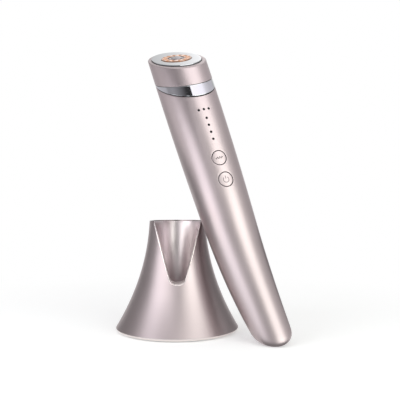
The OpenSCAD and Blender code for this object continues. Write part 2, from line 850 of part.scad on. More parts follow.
// The post on one side that the neck frame is screwed to
module chassis_post(side) difference() {
    union() {
        translate([-post_x, side * post_y - post_w / 2, post_low_z])
            cube([post_x + plate_front, post_w, wand_len - post_low_z]);
        translate([plate_back, side > 0 ? 0 : -post_y - post_w / 2, post_low_z])
            cube([chassis_t, post_y + post_w / 2, board_top_z - post_low_z]);
    }
    above(face_z - neck_floor_low / cos(face_slant), face_slant);
    face_rod(chassis_screw_r + screw_gap, neck_floor_low + chassis_screw_len, 0,
        chassis_screw_place(side), $fn = small_fn);
}

module chassis_screws() color("silver") lean_wand() for (side = [-1, 1]) {
    place = chassis_screw_place(side);
    head_low = carrier_depth + chassis_screw_head_h;
    face_rod(chassis_screw_head_r, head_low, carrier_depth + screw_gap, place);
    face_rod(chassis_screw_r, head_low + chassis_screw_len, head_low, place, $fn = small_fn);
}

// Battery

module battery_cell() color("steelblue") lean_wand()
    translate([battery_x, 0, battery_z]) cylinder(h = battery_len, r = battery_d / 2);

module battery_tabs() color("silver") lean_wand()
    for (z = [battery_z - tab_t, battery_top_z]) translate([battery_x, 0, z])
        cylinder(h = tab_t, r = tab_r, $fn = small_fn);

module battery_leads() color("crimson") lean_wand() {
    low = battery_z - tab_t;
    high = battery_top_z + tab_t;
    side = tail_half + 1.5 * lead_d;
    turn_z = board_low_z - 2.5 * lead_d;
    lead([[battery_x, lead_y, low], [battery_x, lead_y, low - lead_stub], [battery_x, side, turn_z],
        [board_middle, side, turn_z], [board_middle, side, board_low_z]]);
    lead([[battery_x, lead_y, high], [battery_x, lead_y, high + lead_stub],
        [battery_x, window_y, window_z], [board_back, window_y, window_z]]);
}

// Motor

module motor_can() color("silver") lean_wand() translate([motor_x, 0, motor_z]) difference() {
    cylinder(h = motor_len, r = motor_d / 2);
    translate([0, 0, motor_len - shaft_in - shaft_end_gap])
        cylinder(h = shaft_in + 1, r = shaft_d / 2 + screw_gap, $fn = small_fn);
}

module motor_shaft() color("silver") lean_wand()
    translate([motor_x, 0, motor_top_z - shaft_in])
        cylinder(h = shaft_in + shaft_out, r = shaft_d / 2, $fn = small_fn);

module motor_weight() color("darkgray") lean_wand()
    translate([motor_x, 0, motor_top_z + shaft_out - eccentric_h - shaft_end_gap]) difference() {
        union() {
            intersection() {
                cylinder(h = eccentric_h, r = weight_r);
                translate([-weight_r, 0, 0]) cube([2 * weight_r, weight_r, eccentric_h]);
            }
            cylinder(h = eccentric_h, r = shaft_d / 2 + hub_w, $fn = small_fn);
        }
        translate([0, 0, -1]) cylinder(h = eccentric_h + 2, r = shaft_d / 2, $fn = small_fn);
    }

module motor_leads() color("royalblue") lean_wand() for (side = [-1, 1]) {
    x = motor_x + side * 1.5 * lead_d;
    z = window_z + side * 0.65 * lead_d;
    lead([[x, -lead_y, motor_z], [x, -lead_y, motor_z - lead_stub], [x, -window_y, z],
        [board_back, -window_y, z]]);
}

// Charging

module charge_board() color(board_green) lean_wand()
    translate([charge_board_back, -charge_board_half, charge_board_top - charge_board_t])
        cube([charge_board_front - charge_board_back, 2 * charge_board_half, charge_board_t]);

// The port's shell with round ends, grown by grow, from x0 to x1
module port_body(x0, x1, grow) {
    r = port_h / 2 + grow;
    side = (port_w - port_h) / 2;
    for (y = [-side, side]) front_rod(r, x0, x1, port_z, y, $fn = small_fn);
    translate([x0, -side, port_z - r]) cube([x1 - x0, 2 * side, 2 * r]);
}

module charge_port() color("silver") lean_wand() {
    difference() {
        port_body(port_back, port_back + port_len, 0);
        port_body(port_back - 1, port_back + port_len - port_back_wall, -port_shell);
    }
    translate([port_back + port_back_wall, port_tongue_side - port_w / 2,
            port_z - port_tongue_t / 2])
        cube([port_len - 1.5 * port_back_wall, port_w - 2 * port_tongue_side, port_tongue_t]);
}

module charge_leads() color("orange") lean_wand() for (side = [-1, 1]) {
    x = charge_board_front - 1.4 * lead_d;
    y = side * lead_y;
    lead([[x, y, charge_board_top], [x, y, charge_board_top + lead_rise],
        [board_middle, y, board_low_z - lead_rise], [board_middle, y, board_low_z]]);
}

// The point in the wand's frame that lies at a depth below place [x, y] of the face
function face_point(depth, place) = [place.x * cos(face_slant) - depth * sin(face_slant), place.y,
    face_z - place.x * sin(face_slant) - depth * cos(face_slant)];

module head_leads() color("firebrick") lean_wand() for (side = [-1, 1]) {
    x = board_middle;
    turn_z = board_top_z + head_rise;
    pin_end = carrier_depth + pin_tail;
    lead([[x, side, board_top_z], [x, side, turn_z], face_point(neck_floor_low + head_rise, [0, side]),
        face_point(lamp_board_top + lamp_board_t, [0, side])]);
    lead([[x, side * pin_y, board_top_z], [x, side * pin_y, turn_z],
        face_point(pin_end + head_rise, [pin_x, side * pin_y]),
        face_point(pin_end, [pin_x, side * pin_y])]);
}

foot_pad();
base_plate();
base_screws();
stand_weight();
stand_shell();
socket_liner();
body_shell();
neck_seal();
chrome_band();
head_cap();
neck_frame();
head_screws();
head_carrier();
face_seal();
face_plate();
contact_pins();
lens_ring();
centre_electrode();
lamp_board();
head_lamps();
level_button();
power_button();
level_lights();
mode_lights();
level_switch();
power_switch();
indicator_leds();
main_board();
board_chips();
chassis();
chassis_screws();
battery_cell();
battery_tabs();
battery_leads();
motor_can();
motor_shaft();
motor_weight();
motor_leads();
charge_board();
charge_port();
charge_leads();
head_leads();
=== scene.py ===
"""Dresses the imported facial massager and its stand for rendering.

The wand leans against a bell-shaped stand with a V-shaped slot. Sizes are in metres, written as
millimetres times MM. The wand's own frame has Z from its foot to its head and X toward its buttons.
"""

from __future__ import annotations

import functools
import json
import logging
import math
from dataclasses import dataclass, field, fields, replace
from enum import Enum
from typing import Callable, ClassVar, Iterable, Sequence

import bmesh
import bpy
from mathutils import Matrix, Vector

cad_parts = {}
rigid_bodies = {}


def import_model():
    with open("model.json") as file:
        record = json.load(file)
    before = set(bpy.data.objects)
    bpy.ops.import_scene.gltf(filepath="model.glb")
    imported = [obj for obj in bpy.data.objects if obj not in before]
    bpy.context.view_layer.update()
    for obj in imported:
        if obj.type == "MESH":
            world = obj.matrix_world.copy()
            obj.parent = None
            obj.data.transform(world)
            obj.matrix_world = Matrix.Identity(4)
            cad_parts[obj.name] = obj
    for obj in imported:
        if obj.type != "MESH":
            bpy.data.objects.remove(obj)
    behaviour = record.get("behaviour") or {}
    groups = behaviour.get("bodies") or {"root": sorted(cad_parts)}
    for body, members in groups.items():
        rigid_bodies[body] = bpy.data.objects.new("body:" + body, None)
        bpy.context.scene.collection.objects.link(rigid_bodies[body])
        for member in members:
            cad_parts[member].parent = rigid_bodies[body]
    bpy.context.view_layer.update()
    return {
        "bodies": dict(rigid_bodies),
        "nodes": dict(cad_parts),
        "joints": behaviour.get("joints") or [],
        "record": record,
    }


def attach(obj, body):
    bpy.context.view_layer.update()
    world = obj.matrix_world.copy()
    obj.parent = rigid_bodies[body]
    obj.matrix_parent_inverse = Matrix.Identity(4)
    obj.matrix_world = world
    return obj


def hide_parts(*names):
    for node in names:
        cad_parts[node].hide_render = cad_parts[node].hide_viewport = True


LOG = logging.getLogger("massager")
MM = 0.001
FULL_TURN = 2 * math.pi
TINY = 1e-6
Color = tuple[float, float, float]
Point = tuple[float, float, float]
Spot = tuple[float, float]
Loop = list[Vector]


class Body(Enum):
    """The moving bodies that pieces ride on."""

    STAND = "stand"
    WAND = "wand"
    LEVEL_KEY = "level_key"
    POWER_KEY = "power_key"


class Slot(Enum):
    """The record's material slots, which new pieces are given but which nothing reads."""

    ROSE = "rose_satin"
    ROSE_INNER = "rose_inner"
    CHROME = "chrome"
    AMBER = "amber_lens"
    RUBBER = "black_rubber"
    GLOSS_BLACK = "black_plastic"


class Side(Enum):
    """The sides of the wand that have openings: the buttons' side and the side behind it."""

    FRONT = 1
    BACK = -1


# Shader graphs


class Value:
    """A number on a node's socket, which expressions can be written on."""

    def __init__(self, graph: Graph, link: bpy.types.NodeSocket) -> None:
        """Keeps the graph and the socket."""
        self.graph = graph
        self.link = link

    def math(self, operation: str, *others: Value | float, swap: bool = False) -> Value:
        """Adds a Math node; with swap, this value comes after the others."""
        operands = [*others, self] if swap else [self, *others]
        return self.graph.value("Math", {"operation": operation}, dict(enumerate(operands)))

    def __add__(self, other: Value | float) -> Value:
        """Sum."""
        return self.math("ADD", other)

    __radd__ = __add__

    def __sub__(self, other: Value | float) -> Value:
        """Difference."""
        return self.math("SUBTRACT", other)

    def __rsub__(self, other: float) -> Value:
        """Difference from a number."""
        return self.math("SUBTRACT", other, swap=True)

    def __mul__(self, other: Value | float) -> Value:
        """Product."""
        return self.math("MULTIPLY", other)

    __rmul__ = __mul__

    def __truediv__(self, other: Value | float) -> Value:
        """Quotient."""
        return self.math("DIVIDE", other)

    def wave(self) -> Value:
        """Sine."""
        return self.math("SINE")

    def between(self, low: float, high: float) -> Value:
        """Rises smoothly from 0 where the value is low to 1 where it is high."""
        sockets = {"Value": self, "From Min": low, "From Max": high}
        return self.graph.value("MapRange", {"interpolation_type": "SMOOTHSTEP"}, sockets)


class Graph:
    """The node graph of one material or of the world."""

    MIX_COLORS = (6, 7)
    MIX_RESULT = 2

    def __init__(self, tree: bpy.types.NodeTree) -> None:
        """Starts from an empty tree."""
        self.tree = tree
        self.tree.nodes.clear()

    def node(self, kind: str, settings: dict, sockets: dict) -> bpy.types.Node:
        """Adds a node.

        Args:
            kind: the node's type after ShaderNode, such as TexNoise.
            settings: properties set first; stops are the places and colours of a ramp.
            sockets: values or links by socket name or number.

        Returns:
            The node.
        """
        node = self.tree.nodes.new("ShaderNode" + kind)
        for name, setting in settings.items():
            if name == "stops":
                self.set_stops(node.color_ramp, setting)
            else:
                setattr(node, name, setting)
        for name, given in sockets.items():
            link = given.link if isinstance(given, Value) else given
            if isinstance(link, bpy.types.NodeSocket):
                self.tree.links.new(link, node.inputs[name])
            else:
                node.inputs[name].default_value = link
        return node

    @staticmethod
    def set_stops(ramp: bpy.types.ColorRamp, stops: Sequence[tuple[float, Color]]) -> None:
        """Gives a colour ramp its stops.

        Args:
            ramp: the ramp.
            stops: place and colour of each stop, in order.
        """
        while len(ramp.elements) < len(stops):
            ramp.elements.new(1.0)
        for element, (place, color) in zip(ramp.elements, stops):
            element.position = place
            element.color = (*color, 1.0)

    def value(self, kind: str, settings: dict, sockets: dict, output: int | str = 0) -> Value:
        """Adds a node and wraps one of its outputs as a number."""
        return Value(self, self.node(kind, settings, sockets).outputs[output])

    def show(self, shader: bpy.types.Node, output: str = "OutputMaterial") -> None:
        """Makes a shader the one that the tree gives."""
        self.node(output, {}, {"Surface": shader.outputs[0]})

    def place(self) -> bpy.types.NodeSocket:
        """The point of the surface in the object's own coordinates, which are those of the part."""
        return self.node("TexCoord", {}, {}).outputs["Object"]

    def along(self, axis: Point, origin: Point = (0.0, 0.0, 0.0)) -> Value:
        """Distance of the surface's point along an axis.

        Args:
            axis: the axis, of unit length.
            origin: where the distance is 0.

        Returns:
            The distance.
        """
        sockets = {0: self.place(), 1: axis}
        start = Vector(axis).dot(Vector(origin))
        return self.value("VectorMath", {"operation": "DOT_PRODUCT"}, sockets, "Value") - start

    def noise(self, scale: float, detail: float = 2.0, at: bpy.types.NodeSocket | None = None) -> Value:
        """Noise from 0 to 1, with scale waves in a metre, at the surface's point or at other coordinates."""
        return self.value("TexNoise", {}, {"Vector": at or self.place(), "Scale": scale, "Detail": detail})

    def mix(self, share: Value | float, low: object, high: object) -> bpy.types.NodeSocket:
        """Mixes two colours.

        Args:
            share: share of the second colour.
            low: the first colour, given as such or as a socket.
            high: the second colour, given likewise.

        Returns:
            The mixture's socket.
        """
        colors = [(*c, 1.0) if isinstance(c, tuple) else c for c in (low, high)]
        sockets = {"Factor": share, **dict(zip(self.MIX_COLORS, colors))}
        return self.node("Mix", {"data_type": "RGBA"}, sockets).outputs[self.MIX_RESULT]

    def bump(self, height: Value, depth: float) -> bpy.types.NodeSocket:
        """Raises the surface by a height from 0 to 1 times a depth in metres."""
        return self.node("Bump", {}, {"Height": height, "Distance": depth}).outputs[0]


def new_material(name: str) -> tuple[bpy.types.Material, Graph]:
    """Makes a material without nodes.

    Args:
        name: its name.

    Returns:
        The material and its graph.
    """
    material = bpy.data.materials.new(name)
    material.use_nodes = True
    return material, Graph(material.node_tree)


# Finishes


@dataclass(frozen=True)
class Finish:
    """A plain finish, which the others vary."""

    name: str
    color: Color
    roughness: float = 0.5
    metallic: float = 0.0
    coat: float = 0.0
    specular: float = 0.5
    mottle: float = 0.1
    mottle_scale: float = 90.0

    @functools.cache
    def material(self) -> bpy.types.Material:
        """Makes the finish's material the first time that it is asked for.

        Returns:
            The material.
        """
        material, graph = new_material(self.name)
        sockets = {
            "Base Color": (*self.color, 1.0),
            "Roughness": self.roughness,
            "Metallic": self.metallic,
            "Coat Weight": self.coat,
            "Specular IOR Level": self.specular,
            **self.surface(graph),
        }
        graph.show(graph.node("BsdfPrincipled", {}, sockets))
        return material

    def surface(self, graph: Graph) -> dict:
        """Links by socket name for what varies over the surface."""
        return {"Roughness": self.roughness + (graph.noise(self.mottle_scale) - 0.5) * self.mottle}

    def shaded(self, share: float) -> Color:
        """The finish's colour times a share."""
        return tuple(c * share for c in self.color)


@dataclass(frozen=True)
class SatinRose(Finish):
    """Metallic rose champagne lacquer with fine flake, faint turning marks and handling wear."""

    flake: float = 0.05
    flake_scale: float = 5200.0
    flake_middle: float = 0.4
    flake_weight: float = 0.6
    turning: float = 0.03
    turning_scale: float = 2600.0
    turning_weight: float = 0.3
    turning_drift: float = 0.02
    smudge: float = 0.05
    smudge_scale: float = 45.0
    smudge_weight: float = 0.5
    relief: float = 0.0015 * MM

    def surface(self, graph: Graph) -> dict:
        """Flake in the colour, turning marks and smudges in the roughness.

        Args:
            graph: the material's graph.

        Returns:
            Links by socket name.
        """
        sockets = {"Vector": graph.place(), "Scale": self.flake_scale}
        flake = graph.value("TexVoronoi", {}, sockets)
        marks = graph.noise(self.turning_scale, detail=1.0, at=self.rings(graph))
        cloud = graph.noise(self.smudge_scale, detail=3.0)
        tone = 0.5 + (cloud - 0.5) * self.smudge_weight
        tone = tone + (flake - self.flake_middle) * self.flake_weight + (marks - 0.5) * self.turning_weight
        return {
            "Base Color": graph.mix(tone, self.shaded(1 - self.flake), self.shaded(1 + self.flake)),
            "Roughness": self.roughness + (marks - 0.5) * self.turning + (cloud - 0.5) * self.smudge,
            "Normal": graph.bump(flake * 0.5 + marks * 0.5, self.relief),
        }

    def rings(self, graph: Graph) -> bpy.types.NodeSocket:
        """Coordinates that vary fast along Z and slowly round it.

        Args:
            graph: the material's graph.

        Returns:
            The coordinates' socket.
        """
        height = graph.along((0, 0, 1))
        sockets = {0: graph.place(), "Scale": self.turning_drift}
        slow = graph.node("VectorMath", {"operation": "SCALE"}, sockets)
        fast = graph.node("CombineXYZ", {}, {"X": height, "Y": 0.0, "Z": 0.0})
        pair = {0: slow.outputs[0], 1: fast.outputs[0]}
        return graph.node("VectorMath", {"operation": "ADD"}, pair).outputs[0]


@dataclass(frozen=True)
class PaintedHighlightEdge(SatinRose):
    """Turned edge in a lighter copy of the rose lacquer, a painted highlight, which runs into painted shade
    toward the rim.
    """

    # The rim colour is painted shade along the rim's top; fade gives the heights where it comes in.
    rim: Color = (0.3, 0.25, 0.255)
    fade: Spot = (66 * MM, 68.4 * MM)

    def surface(self, graph: Graph) -> dict:
        """The lacquer's sockets, with painted shade darkening the colour at the rim.

        Args:
            graph: the material's graph.

        Returns:
            Links by socket name.
        """
        sockets = super().surface(graph)
        share = graph.along((0, 0, 1)).between(*self.fade)
        return {**sockets, "Base Color": graph.mix(share, sockets["Base Color"], self.rim)}


@dataclass(frozen=True)
class Chrome(Finish):
    """Polished plating with faint smears and hairlines."""

    smear: float = 0.05
    smear_tone: float = 0.94
    smear_scale: float = 120.0
    smear_edge: Spot = (0.45, 0.75)
    hairline: float = 0.0004 * MM
    hairline_scale: float = 900.0

    def surface(self, graph: Graph) -> dict:
        """Smears in the roughness, hairlines in the relief.

        Args:
            graph: the material's graph.

        Returns:
            Links by socket name.
        """
        smear = graph.noise(self.smear_scale, detail=4.0).between(*self.smear_edge)
        return {
            "Base Color": graph.mix(smear, self.color, self.shaded(self.smear_tone)),
            "Roughness": self.roughness + smear * self.smear,
            "Normal": graph.bump(graph.noise(self.hairline_scale, detail=1.0), self.hairline),
        }


@dataclass(frozen=True)
class AmberLens(Finish):
    """Copper-amber ring with a painted glow: pale petals on a brighter belt where the lamps behind it show;
    it gives no light itself.
    """

    middle: Point = (0.0, 0.0, 0.0)
    across: Point = (1.0, 0.0, 0.0)
    aside: Point = (0.0, 1.0, 0.0)
    petals: int = 12
    # pale is the colour of the painted glow in the petals; deep is the copper at the ring's borders.
    pale: Color = (0.9, 0.5, 0.3)
    deep: Color = (0.3, 0.12, 0.05)
    petal_fade: Spot = (0.25, 0.85)
    inner_fade: Spot = (5.6 * MM, 7.2 * MM)
    outer_fade: Spot = (8.2 * MM, 9.7 * MM)
    cloud_scale: float = 600.0
    cloud_tone: float = 0.4
    cloud_roughness: float = 0.06

    def surface(self, graph: Graph) -> dict:
        """Painted glow of pale petals on a brighter belt, the ring deeper copper at its borders.

        Args:
            graph: the material's graph.

        Returns:
            Links by socket name.
        """
        x = graph.along(self.across, self.middle)
        y = graph.along(self.aside, self.middle)
        reach = (x * x + y * y).math("SQRT")
        petal = ((y.math("ARCTAN2", x) * self.petals).wave() * 0.5 + 0.5).between(*self.petal_fade)
        belt = reach.between(*self.inner_fade) * (1 - reach.between(*self.outer_fade))
        cloud = graph.noise(self.cloud_scale)
        painted_glow = petal * belt * (1 - self.cloud_tone / 2 + cloud * self.cloud_tone)
        return {
            "Base Color": graph.mix(painted_glow, graph.mix(belt, self.deep, self.color), self.pale),
            "Roughness": self.roughness + cloud * self.cloud_roughness,
        }


@dataclass(frozen=True)
class Grained(Finish):
    """Moulded plastic, rubber or wrap with a fine grain."""

    grain: float = 3000.0
    grain_roughness: float = 0.15
    depth: float = 0.01 * MM
    cloud_scale: float = 160.0
    spread: float = 0.08

    def surface(self, graph: Graph) -> dict:
        """Grain in the relief, clouds in the colour and roughness.

        Args:
            graph: the material's graph.

        Returns:
            Links by socket name.
        """
        grain = graph.noise(self.grain, detail=3.0)
        cloud = graph.noise(self.cloud_scale, detail=3.0)
        return {
            "Base Color": graph.mix(cloud, self.shaded(1 - self.spread), self.shaded(1 + self.spread)),
            "Roughness": self.roughness + (grain - 0.5) * self.grain_roughness,
            "Normal": graph.bump(grain, self.depth),
        }


@dataclass(frozen=True)
class TurnedMetal(Finish):
    """Bare or plated metal with turning marks."""

    marks: float = 1800.0
    marks_roughness: float = 0.16
    depth: float = 0.003 * MM
    stain_scale: float = 130.0
    stained: float = 0.86
    clean: float = 1.04

    def surface(self, graph: Graph) -> dict:
        """Marks in the colour, roughness and relief.

        Args:
            graph: the material's graph.

        Returns:
            Links by socket name.
        """
        marks = graph.noise(self.marks)
        stain = graph.noise(self.stain_scale, detail=3.0)
        return {
            "Base Color": graph.mix(stain, self.shaded(self.stained), self.shaded(self.clean)),
            "Roughness": self.roughness + (marks - 0.5) * self.marks_roughness,
            "Normal": graph.bump(marks, self.depth),
        }


@dataclass(frozen=True)
class Board(Finish):
    """Circuit board: lacquer over copper tracks."""

    track: Color = (0.10, 0.36, 0.20)
    track_scale: float = 700.0
    track_edge: Spot = (0.04, 0.09)
    disorder: float = 0.6
    depth: float = 0.02 * MM

    def surface(self, graph: Graph) -> dict:
        """Tracks as raised bands of a lighter green.

        Args:
            graph: the material's graph.

        Returns:
            Links by socket name.
        """
        sockets = {"Vector": graph.place(), "Scale": self.track_scale, "Randomness": self.disorder}
        cells = graph.value("TexVoronoi", {"feature": "DISTANCE_TO_EDGE"}, sockets)
        track = 1 - cells.between(*self.track_edge)
        return {
            "Base Color": graph.mix(track, self.color, self.track),
            "Normal": graph.bump(track, self.depth),
        }


@dataclass(frozen=True)
class Lamp(Finish):
    """Small lamp with a yellow coat over its chip."""

    cloud_scale: float = 1500.0
    cloud_tone: float = 0.7
    cloud_roughness: float = 0.2

    def surface(self, graph: Graph) -> dict:
        """Clouds of the coat in the colour and roughness.

        Args:
            graph: the material's graph.

        Returns:
            Links by socket name.
        """
        cloud = graph.noise(self.cloud_scale, detail=3.0)
        return {
            "Base Color": graph.mix(cloud, self.shaded(self.cloud_tone), self.color),
            "Roughness": self.roughness + cloud * self.cloud_roughness,
        }


ROSE = SatinRose("rose_lacquer", (0.47, 0.4, 0.407), 0.4, 1.0)
SOFT_BLACK = Grained("soft_black", (0.02, 0.02, 0.022), 0.55)
GLOSS_BLACK = Finish("gloss_black", (0.012, 0.012, 0.014), 0.12)
GUIDE_BLACK = Finish("guide_black", (0.008, 0.008, 0.01), 0.5, specular=0.15)


# Meshes


def rounded(start: Vector, corner: Vector, end: Vector, steps: int) -> Loop:
    """Points of a round corner.

    Args:
        start: where the rounding starts.
        corner: the sharp corner that it replaces.
        end: where it ends.
        steps: number of steps.

    Returns:
        The points from start to end.
    """
    points = []
    for i in range(steps + 1):
        t = i / steps
        shares = ((1 - t) ** 2, math.sqrt(2) * t * (1 - t), t**2)
        points.append((start * shares[0] + corner * shares[1] + end * shares[2]) / sum(shares))
    return points


def bend(corner: Spot, start: Spot, end: Spot, steps: int) -> list[Spot]:
    """A round corner of a profile, with its start and its end given from the corner."""
    middle = Vector(corner)
    return [tuple(p) for p in rounded(middle + Vector(start), middle, middle + Vector(end), steps)]


def spaced(start: float, end: float, step: float) -> list[float]:
    """Evenly spaced numbers from start up to one step short of end, at most a step apart."""
    count = max(1, math.ceil((end - start) / step - TINY))
    return [start + (end - start) * i / count for i in range(count)]


def turns(count: int) -> list[float]:
    """Evenly spaced angles of a full turn, from 0."""
    return [FULL_TURN * i / count for i in range(count)]


def ring(radius: float, height: float, sides: int) -> Loop:
    """Points of a level ring about Z, counterclockwise from +X."""
    return [Vector((radius * math.cos(a), radius * math.sin(a), height)) for a in turns(sides)]


def between_loops(low: Loop, high: Loop, shares: Iterable[float]) -> list[Loop]:
    """Loops between two loops, which keep the shading of the wall between them straight."""
    return [[a.lerp(b, share) for a, b in zip(low, high)] for share in shares]


class Draft:
    """Points and faces of one piece, gathered before they become its mesh."""

    MERGE = 0.0005 * MM
    CREASE = math.radians(42)

    def __init__(self, place: Matrix | None = None) -> None:
        """Starts empty.

        Args:
            place: takes the points into the part's frame.
        """
        self.place = place or Matrix.Identity(4)
        self.points: list[Vector] = []
        self.faces: list[tuple[int, ...]] = []

    def loop(self, points: Iterable[Vector]) -> list[int]:
        """Adds points.

        Args:
            points: the points.

        Returns:
            Their numbers.
        """
        start = len(self.points)
        self.points.extend(points)
        return list(range(start, len(self.points)))

    def bridge(self, low: Sequence[int], high: Sequence[int], skip: Iterable[int] = ()) -> None:
        """Joins two closed loops of points with faces.

        Args:
            low: numbers of the first loop's points.
            high: numbers of the second loop's points, as many.
            skip: places along the loops that get no face.
        """
        for i, number in enumerate(low):
            j = (i + 1) % len(low)
            if i not in skip:
                self.faces.append((number, low[j], high[j], high[i]))

    def stack(self, loops: Iterable[Iterable[Vector]], start: list[int] | None = None) -> list[int]:
        """Joins closed loops one after the other.

        Args:
            loops: the loops of points.
            start: numbers of a loop to start from.

        Returns:
            Numbers of the last loop's points.
        """
        last = start
        for points in loops:
            numbers = self.loop(points)
            if last:
                self.bridge(last, numbers)
            last = numbers
        return last

    def close(self, loop: Sequence[int]) -> None:
        """Closes a loop with triangles to its middle."""
        self.tip(loop, sum((self.points[i] for i in loop), Vector()) / len(loop))

    def tip(self, loop: Sequence[int], point: Vector) -> None:
        """Closes a loop with triangles to a point.

        Args:
            loop: numbers of the loop's points.
            point: the point.
        """
        [top] = self.loop([point])
        for i, number in enumerate(loop):
            self.faces.append((number, loop[(i + 1) % len(loop)], top))

    def piece(self, name: str, body: Body, slot: Slot, finish: Finish, *nodes: str) -> None:
        """Makes the piece's object.

        Args:
            name: the piece's name.
            body: the body that it rides on.
            slot: the record's slot of its finish; not used.
            finish: its finish.
            nodes: the CAD nodes that it stands for.
        """
        mesh = bpy.data.meshes.new(name)
        mesh.from_pydata([self.place @ p for p in self.points], [], self.faces)
        edit = bmesh.new()
        edit.from_mesh(mesh)
        bmesh.ops.remove_doubles(edit, verts=edit.verts, dist=self.MERGE)
        loose = [v for v in edit.verts if not v.link_faces]
        bmesh.ops.delete(edit, geom=loose, context="VERTS")
        bmesh.ops.recalc_face_normals(edit, faces=edit.faces)
        edit.to_mesh(mesh)
        edit.free()
        mesh.shade_smooth()
        mesh.set_sharp_from_angle(angle=self.CREASE)
        mesh.materials.append(finish.material())
        piece = bpy.data.objects.new(name, mesh)
        bpy.context.scene.collection.objects.link(piece)
        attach(piece, body.value)
        if nodes:
            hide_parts(*nodes)
        LOG.info("%s: %d faces on %s", name, len(mesh.polygons), body.value)


# The stand


@dataclass(frozen=True)
class EdgeNode:
    """One place along the edge of a slotted shell."""

    skin: Vector
    edge: Vector
    wall: Vector
    back: Vector

    def mirrored(self) -> EdgeNode:
        """The node on the other side of the slot."""
        return EdgeNode(*(Vector((-v.x, v.y, v.z)) for v in (self.skin, self.edge, self.wall, self.back)))


def blended(start: EdgeNode, corner: EdgeNode, end: EdgeNode, steps: int) -> list[EdgeNode]:
    """Nodes of a round corner of the edge, with each of their points rounded alike."""
    parts = [[getattr(node, part.name) for node in (start, corner, end)] for part in fields(EdgeNode)]
    return [EdgeNode(*points) for points in zip(*(rounded(*part, steps) for part in parts))]


@dataclass(frozen=True)
class VSlot:
    """The V-shaped slot, seen from the front."""

    floor_z: float = 31.4 * MM
    low_half: float = 3.9 * MM
    top_half: float = 14.5 * MM
    top_z: float = 68.9 * MM
    corner: float = 4.1 * MM

    @property
    def slant(self) -> float:
        """Angle of the slot's sides from upright."""
        return math.atan((self.top_half - self.low_half) / (self.top_z - self.floor_z))

    @property
    def corner_x(self) -> float:
        """Place of the middle of the round corner beside the floor."""
        lift = self.corner * math.sin(self.slant)
        return self.low_half - (self.corner - lift) / math.cos(self.slant)

    def floor_point(self, share: float, grow: float) -> Spot:
        """A point of the floor or the round corner beside it.

        Args:
            share: 0 at the middle of the floor, 1 where the side begins.
            grow: distance that the outline is moved into the shell.

        Returns:
            The point.
        """
        round_turn = math.pi / 2 - self.slant
        flat = self.corner_x / (self.corner_x + self.corner * round_turn)
        turn = -math.pi / 2 + round_turn * max(0.0, (share - flat) / (1 - flat))
        reach = self.corner + grow
        x = self.corner_x * min(1.0, share / flat) + reach * math.cos(turn)
        return x, self.floor_z + self.corner + reach * math.sin(turn)

    def side_point(self, share: float, grow: float, top_z: float) -> Spot:
        """A point of the slanted side.

        Args:
            share: 0 at the round corner, 1 at the top.
            grow: distance that the outline is moved into the shell.
            top_z: height of the shell's top.

        Returns:
            The point.
        """
        x, z = self.floor_point(1.0, grow)
        rise = (top_z - z) * share
        return x + rise * math.tan(self.slant), z + rise


